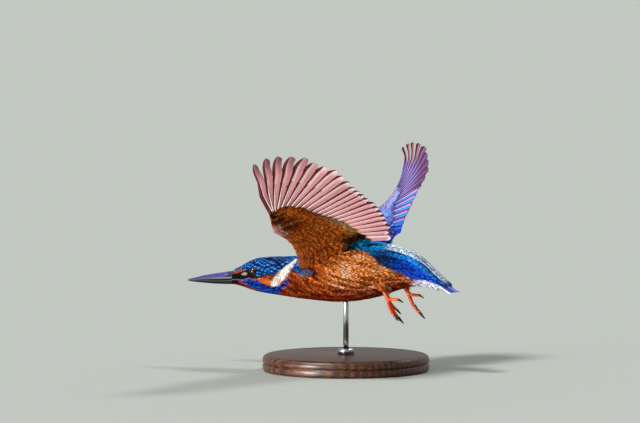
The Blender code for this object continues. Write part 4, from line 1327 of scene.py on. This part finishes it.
def make_tail_feather(k, chance):
    """Vane and shaft of one tail feather, counted from the right side of the fan to the left."""
    t = 2 * k / (TAIL_FEATHERS - 1) - 1
    turn, length = TAIL_FAN * t, TAIL_LENGTH - 1.6 * t * t + chance.uniform(-0.5, 0.3)
    back = Vector((math.cos(TAIL_SLOPE), 0.0, -math.sin(TAIL_SLOPE)))
    up = Vector((math.sin(TAIL_SLOPE), 0.0, math.cos(TAIL_SLOPE)))

    def edges(share):
        half = TAIL_HALF_WIDTH * (0.75 + 0.25 * share)
        if share > TIP_ROUNDING:
            half *= math.sqrt(max(0.0, 1 - ((share - TIP_ROUNDING) / (1 - TIP_ROUNDING)) ** 2.2))
        return half, half

    def place(share, across, height):
        distance = mix((TAIL_START, length), share)
        side = t * TAIL_ROOT_HALF + distance * math.sin(turn) + across
        # the middle pair lies on top, and each pair outwards a little lower and under it
        stack = 0.26 * (1 - abs(t)) + 0.13 * math.copysign(across, t) / TAIL_HALF_WIDTH
        arch = 0.75 - 0.022 * side * side
        point = TAIL_ROOT + back * distance + Vector((0, side, 0)) + up * (height + arch + stack)
        return SHOULDERS + point * MM

    def colour(share, across, outer, inner, from_below):
        edge = abs(across) / max(outer, 0.3)
        if from_below:
            return over(TAIL_GREY, (WHITE, ease(0.6, 1.0, edge) * 0.6))
        return over(
            TAIL_BLUE,
            ("#040d4e", ease(0.5, 0.1, edge) * 0.9),
            ("#f4f4fc", ease(0.5, 0.75, edge) * (0.6 + 0.4 * abs(t))),
        )

    vane = vane_grid(0.0, edges, place, lambda share: 0.0, colour, steps=24, sides=16)
    return [vane, shaft_grid(0.0, place, (TAIL_GREY, TAIL_GREY, NAVY, NAVY), width=0.28, steps=12)]


chance = np.random.default_rng(51)
tail_parts = [part for k in range(TAIL_FEATHERS) for part in make_tail_feather(k, chance)]
finish_piece("tail_feathers", joined(tail_parts), vane_material, "plumage_blue", "tail")


# Bill: two mandibles of bone sheathed in smooth horn, meeting along the cutting edge. The upper has a
# ridged culmen, a slit nostril near its root and a violet tint with a lilac highlight painted along the
# culmen; the lower is nearly black.
# Along the bill: x, culmen, cutting edge, lower edge and half width, in millimetres.
BILL = np.array((
    (-50.5, -5.0, -9.8, -12.6, 3.5), (-52.0, -5.1, -9.9, -12.6, 3.4), (-57.0, -5.8, -10.2, -12.7, 3.0),
    (-64.0, -7.0, -10.5, -12.7, 2.35), (-71.0, -8.4, -10.8, -12.4, 1.6), (-76.0, -9.7, -11.05, -12.1, 1.0),
    (-80.0, -10.7, -11.25, -11.75, 0.4),
))[::-1]
MOUTH_GAP = 0.22
NOSTRIL = Vector((-54.6, 0.0, -7.4))


def bill_at(x):
    """Culmen, cutting edge, lower edge and half width of the bill."""
    return [float(np.interp(x, BILL[:, 0], BILL[:, c])) for c in range(1, 5)]


def bill_grid(upper):
    """One mandible: round on the outside and flat where it meets the other."""
    first, last = BILL[-1, 0], BILL[0, 0]

    def shape(u, v):
        x = first + (last - first) * u**0.8
        culmen, edge, lower, half_width = bill_at(x)
        flat = edge + (MOUTH_GAP / 2 if upper else -MOUTH_GAP / 2)
        rise = culmen - flat if upper else lower - flat
        if v < 0.7:  # round the outside
            angle = math.pi * v / 0.7
            side = math.cos(angle)
            ridge = math.sin(angle) ** (0.85 if upper else 0.9)
            point = Vector((x, half_width * math.copysign(abs(side) ** 0.75, side), flat + rise * ridge))
            if upper:
                slit = math.exp(-(((x - NOSTRIL.x) / 1.5) ** 2) - ((point.z - NOSTRIL.z) / 0.32) ** 2)
                point.y -= math.copysign(0.55 * slit, point.y)
            return SHOULDERS + point * MM
        side = -math.cos(math.pi * (v - 0.7) / 0.3)
        return SHOULDERS + Vector((x, half_width * side, flat)) * MM

    def colour_of(u, v):
        x = first + (last - first) * u**0.8
        if not upper:
            under = ease(0.25, 0.45, v) * ease(0.5, 0.35, v)
            return over("#0a0614", ("#3e3444", under * 0.4), ("#3a3630", ease(0.93, 1.0, u)))
        height = math.sin(math.pi * min(v / 0.7, 1.0))
        return over(
            "#191426",
            ("#403f80", ease(0.12, 0.5, height) * 0.9),
            # lilac along the culmen: painted highlight
            ("#9a9cc0", ease(0.75, 1.0, height) * 0.4),
            ("#15101c", ease(-58.0, -52.5, x) * (0.95 - 0.5 * height)),
            ("#2c2a3c", ease(0.9, 1.0, u) * 0.7),
        )

    return shaped_grid(56, 40, shape, lambda u, v: (u, v), colour_of)


def bill_horn():
    """Rhamphotheca: thin keratin horn, worn smooth, with faint growth streaks along it."""
    made, tree = new_material("bill_horn", {"Roughness": 0.36, "IOR": 1.5, "Specular IOR Level": 0.35})
    position = add_node(tree, "TexCoord").outputs["Object"]
    # streaks 0.3 mm wide and 4 mm long
    drawn = add_node(tree, "Mapping", {"Scale": (260.0, 3300.0, 3300.0)}, {"Vector": position})
    streaks = add_node(tree, "TexNoise", {"Scale": 1.0, "Detail": 4.0}, {"Vector": drawn.outputs["Vector"]})
    shades = ((0.32, "#5c5c6c"), (0.66, "#ffffff"))
    return patterned(made, streaks.outputs["Fac"], shades, (0.2, 0.06 * MM), "Plumage", 0.8)


horn = bill_horn()
finish_piece("mandible_upper", bill_grid(True), horn, "bill", "bill_upper")
finish_piece("mandible_lower", bill_grid(False), horn, "bill", "bill_lower")


# Eyes: wet dark globes, the iris so deep a brown that it hardly parts from the pupil, each in a soft
# ring of bare black lid that the face feathers stop at.
def eye_globe():
    """Cornea over a very dark iris: glossy and wet."""
    made, tree = new_material(
        "wet_eye", {"Roughness": 0.04, "IOR": 1.38, "Coat Weight": 1.0, "Coat Roughness": 0.02}
    )
    position = add_node(tree, "TexCoord").outputs["Object"]
    # mottling of the iris, 0.4 mm across
    rays = add_node(tree, "TexNoise", {"Scale": 1 / (0.4 * MM), "Detail": 2.0}, {"Vector": position})
    return patterned(made, rays.outputs["Fac"], ((0.3, "#a0a0a0"), (0.7, "#ffffff")), None, "Plumage", 0.6)


def lid_skin():
    """Bare lid: soft black skin, slightly moist, with fine creases round the eye."""
    made, tree = new_material("eyelid_skin", {"Roughness": 0.45})
    position = add_node(tree, "TexCoord").outputs["Object"]
    # creases 0.25 mm apart
    crease = add_node(tree, "TexNoise", {"Scale": 1 / (0.25 * MM), "Detail": 2.0}, {"Vector": position})
    return patterned(made, crease.outputs["Fac"], ((0.3, "#060507"), (0.7, "#171419")), (0.5, 0.1 * MM))


wet_eye, lid_finish = eye_globe(), lid_skin()
IRIS, PUPIL = "#2a140c", "#020203"
for side, label in SIDES:
    centre = SHOULDERS + Vector((EYE[0], side * EYE[1], EYE[2])) * MM
    gaze = Vector((-0.16, side, 0.05)).normalized()
    turn = gaze.to_track_quat("Z", "Y").to_matrix()
    globe = bmesh.new()
    bmesh.ops.create_uvsphere(globe, u_segments=40, v_segments=28, radius=EYE_RADIUS * MM)
    layer = globe.verts.layers.float_color.new("Plumage")
    for vert in globe.verts:
        off_axis = math.hypot(vert.co.x, vert.co.y) / MM
        in_iris = ease(1.0, 1.3, off_axis) * ease(2.4, 2.0, off_axis)
        vert[layer] = (*over(PUPIL, (IRIS, in_iris)), 1.0)
    bmesh.ops.transform(globe, matrix=turn.to_4x4(), verts=globe.verts)
    bmesh.ops.translate(globe, verts=globe.verts, vec=centre)
    finish_piece(f"globe_{label}", globe, wet_eye, "eye", f"eye_{label}")

    def lid_shape(u, v):
        # an almond a little longer than high, rolled over the globe's edge
        angle, roll = 2 * math.pi * u, 2 * math.pi * v
        reach = 2.2 + 0.24 * math.cos(roll)
        level = 1.36 + 0.38 * math.sin(roll) + 0.04 * math.sin(7 * angle)
        flat = Vector((reach * math.cos(angle), reach * math.sin(angle), level))
        return centre + turn @ (flat * MM)

    lid = shaped_grid(48, 12, lid_shape)
    finish_piece(f"eyelid_{label}", lid, lid_finish, "eye")


# Feet: short tarsus and four toes in one scaly red skin, the two outer front toes joined at the root as
# in all kingfishers. Rounded scutes ring each toe, and a black curved claw grows from its end.
TOE_JOINT = Vector((46.7, 9.3, -16.5))
TARSUS_RADIUS = 1.25
SCUTE = 0.85
# each toe's reach from the joint, how far it bows, its radius, and its claw's reach
TOES = (
    ("middle", Vector((6.8, 0.4, -10.5)), 1.0, 1.05, Vector((3.0, 0.0, -2.7))),
    ("outer", Vector((4.9, 2.3, -9.2)), 1.0, 0.95, Vector((2.7, 0.3, -2.5))),
    ("inner", Vector((4.6, -1.9, -6.2)), 0.6, 0.9, Vector((2.3, -0.4, -2.3))),
    ("hind", Vector((6.4, 0.0, -0.2)), 0.3, 0.95, Vector((2.6, 0.0, -1.9))),
)


def limb_grid(points, radii, steps, scuted):
    """A tapering round bar along a curve through the points, ringed by scutes where it is scaly."""
    lengths = np.concatenate(([0.0], np.cumsum([(b - a).length for a, b in zip(points, points[1:])])))
    total = lengths[-1]

    def middle(u):
        return Vector(tuple(float(np.interp(u * total, lengths, [p[c] for p in points])) for c in range(3)))

    def shape(u, v):
        ahead = (middle(min(1.0, u + 0.04)) - middle(max(0.0, u - 0.04))).normalized()
        side = ahead.cross(Vector((0.0, 1.0, 0.0))).normalized()
        up = side.cross(ahead)
        radius = float(np.interp(u * total, lengths, radii))
        end = min(1.0, math.sqrt(max(0.0, 1 - max(0.0, (u - 0.93) / 0.07) ** 2)))
        if scuted:
            radius *= 1 + 0.09 * abs(math.sin(math.pi * u * total / SCUTE)) - 0.04
        angle = 2 * math.pi * v
        return middle(u) + (side * math.cos(angle) + up * math.sin(angle)) * radius * max(end, 0.02)

    return shaped_grid(steps, 14, shape)


def bowed(start, end, sag, steps=8):
    """Points along a toe that bows forwards and down between its ends."""
    lean = Vector((-0.85, 0.0, -0.5))
    shares = [k / steps for k in range(steps + 1)]
    return [start.lerp(end, t) + lean * sag * 4 * t * (1 - t) for t in shares]


def red_foot_skin():
    """Foot skin: horny scutes over red flesh, with a dry sheen."""
    made, tree = new_material("scaly_foot_skin", {
        "Roughness": 0.38, "Subsurface Weight": 0.08, "Subsurface Radius": (2.0 * MM, 0.6 * MM, 0.3 * MM),
    })
    position = add_node(tree, "TexCoord").outputs["Object"]
    patches = add_node(tree, "TexNoise", {"Scale": 1 / (2.5 * MM), "Detail": 3.0}, {"Vector": position})
    tones = ((0.32, "#bc3204"), (0.66, "#ee6a18"))
    tone = add_node(tree, "ValToRGB", None, {"Fac": patches.outputs["Fac"]}, tones)
    # granules between the scutes, 0.35 mm across, raised in the middle
    cells = add_node(tree, "TexVoronoi", {"Scale": 1 / (0.35 * MM)}, {"Vector": position})
    raised = add_node(tree, "Math", {"operation": "SUBTRACT", 0: 1.0}, {1: cells.outputs["Distance"]})
    shades = ((0.25, "#b87848"), (0.7, "#ffffff"))
    return patterned(made, raised.outputs[0], shades, (0.35, 0.12 * MM), tone.outputs["Color"], 0.8)


def claw_horn():
    """Claw: dense black keratin, polished by wear, with faint grey growth marks."""
    made, tree = new_material("claw_horn", {"Roughness": 0.25, "IOR": 1.55})
    position = add_node(tree, "TexCoord").outputs["Object"]
    # growth marks 0.8 mm across
    grain = add_node(tree, "TexNoise", {"Scale": 1200.0, "Detail": 3.0}, {"Vector": position})
    return patterned(made, grain.outputs["Fac"], ((0.3, "#0a0808"), (0.75, "#2c2524")), (0.15, 0.05 * MM))


def leg_limb(points, radii, steps, scuted, side):
    """A limb of the left leg set on the leg of that side, in metres."""
    bm = limb_grid(points, radii, steps, scuted)
    for vert in bm.verts:
        vert.co = leg_place(vert.co, side)
    if side < 0:
        bmesh.ops.reverse_faces(bm, faces=bm.faces)
    return bm


foot_skin, claw_finish = red_foot_skin(), claw_horn()
for side, label in SIDES:
    upper_end, lower_end = ANKLE - (TOE_JOINT - ANKLE) * 0.4, TOE_JOINT + Vector((0.5, 0.0, -0.7))
    shin = [upper_end, ANKLE, ANKLE.lerp(TOE_JOINT, 0.5), lower_end]
    limbs = [leg_limb(shin, [TARSUS_RADIUS * r for r in (0.85, 1.0, 0.92, 1.15)], 24, True, side)]
    for name, reach, sag, radius, claw in TOES:
        path = bowed(TOE_JOINT, TOE_JOINT + reach, sag)
        limbs.append(leg_limb(path, [radius * (1.0 - 0.22 * k / 8) for k in range(9)], 48, True, side))
        heading = reach.normalized()
        start, run = TOE_JOINT + reach - heading * 0.5, claw + heading * 0.5
        hook = [start + run * t + heading * claw.length * 0.75 * t * (1 - t) for t in np.linspace(0, 1, 9)]
        nail = leg_limb(hook, [radius * 0.72 * (1 - 0.9 * (k / 8) ** 1.3) for k in range(9)], 20, False, side)
        finish_piece(f"talon_{label}_{name}", nail, claw_finish, "claw", f"claw_{label}_{name}")
    finish_piece(f"toes_{label}", melted(limbs, 0.2 * MM, 1), foot_skin, "foot", f"foot_{label}")


# Everything stands on plain grey paper under soft studio light, seen from the bird's left, a little behind
# square on and slightly from above, through a long lens.
paper, _ = new_material(
    "matt_paper", {"Base Color": (*linear("#989c96"), 1.0), "Roughness": 0.9, "Specular IOR Level": 0.2}
)
floor_bm = bmesh.new()
bmesh.ops.create_grid(floor_bm, x_segments=1, y_segments=1, size=40.0)
floor_mesh = bpy.data.meshes.new("floor")
floor_bm.to_mesh(floor_mesh)
floor_bm.free()
floor = bpy.data.objects.new("floor", floor_mesh)
bpy.context.scene.collection.objects.link(floor)
floor_mesh.materials.append(paper)

CAMERA_TURN, CAMERA_RISE = math.radians(25.0), math.radians(4.0)
VIEW_WIDTH = 353.591 * MM  # what the view spans at the bird
LENS, SENSOR = 300.0, 36.0
AIM = Vector((1.105, 29.392)) * MM  # centre of the view to the right of and above the shoulders
ahead = Vector((
    -math.sin(CAMERA_TURN) * math.cos(CAMERA_RISE), math.cos(CAMERA_TURN) * math.cos(CAMERA_RISE),
    -math.sin(CAMERA_RISE),
))
right = Vector((math.cos(CAMERA_TURN), math.sin(CAMERA_TURN), 0.0))
above = right.cross(ahead)
camera_data = bpy.data.cameras.new("camera")
camera_data.lens, camera_data.sensor_width = LENS, SENSOR
camera_data.clip_end = 200.0
camera = bpy.data.objects.new("camera", camera_data)
bpy.context.scene.collection.objects.link(camera)
aim = SHOULDERS + right * AIM.x + above * AIM.y
facing = Matrix((right, above, -ahead)).transposed().to_4x4()
camera.matrix_world = Matrix.Translation(aim - ahead * VIEW_WIDTH * LENS / SENSOR) @ facing
bpy.context.scene.camera = camera


def add_sun(name, place, target, strength, spread):
    """A broad soft light that shines from a place to a target, out of a disc of sky spread degrees wide."""
    data = bpy.data.lights.new(name, "SUN")
    data.energy, data.angle = strength, math.radians(spread)
    light = bpy.data.objects.new(name, data)
    bpy.context.scene.collection.objects.link(light)
    light.location = place
    light.rotation_mode = "QUATERNION"
    light.rotation_quaternion = (target - Vector(place)).to_track_quat("-Z", "Y")


bird = Vector((0.0, 0.0, 70.0)) * MM
add_sun("key", (-0.5, -1.0, 1.7), bird, 2.7, 12)
add_sun("fill", (-0.5, -1.0, 0.12), bird, 2.9, 12)
add_sun("rim", (0.5, 0.7, 1.3), bird, 1.3, 12)
# light thrown up from the floor, which lets this one through: no shadow of it falls on the bird
floor.visible_shadow = False
add_sun("bounce", (-0.45, -0.85, -0.5), Vector((0.0, 0.0, 0.0)), 1.4, 30)
world = bpy.data.worlds.new("studio")
bpy.context.scene.world = world
world.use_nodes = True
sky = world.node_tree.nodes["Background"]
sky.inputs["Color"].default_value = (*linear("#eef2f4"), 1.0)
sky.inputs["Strength"].default_value = 0.45
bpy.context.scene.view_settings.view_transform = "Standard"
bpy.context.scene.view_settings.look = "Medium High Contrast"
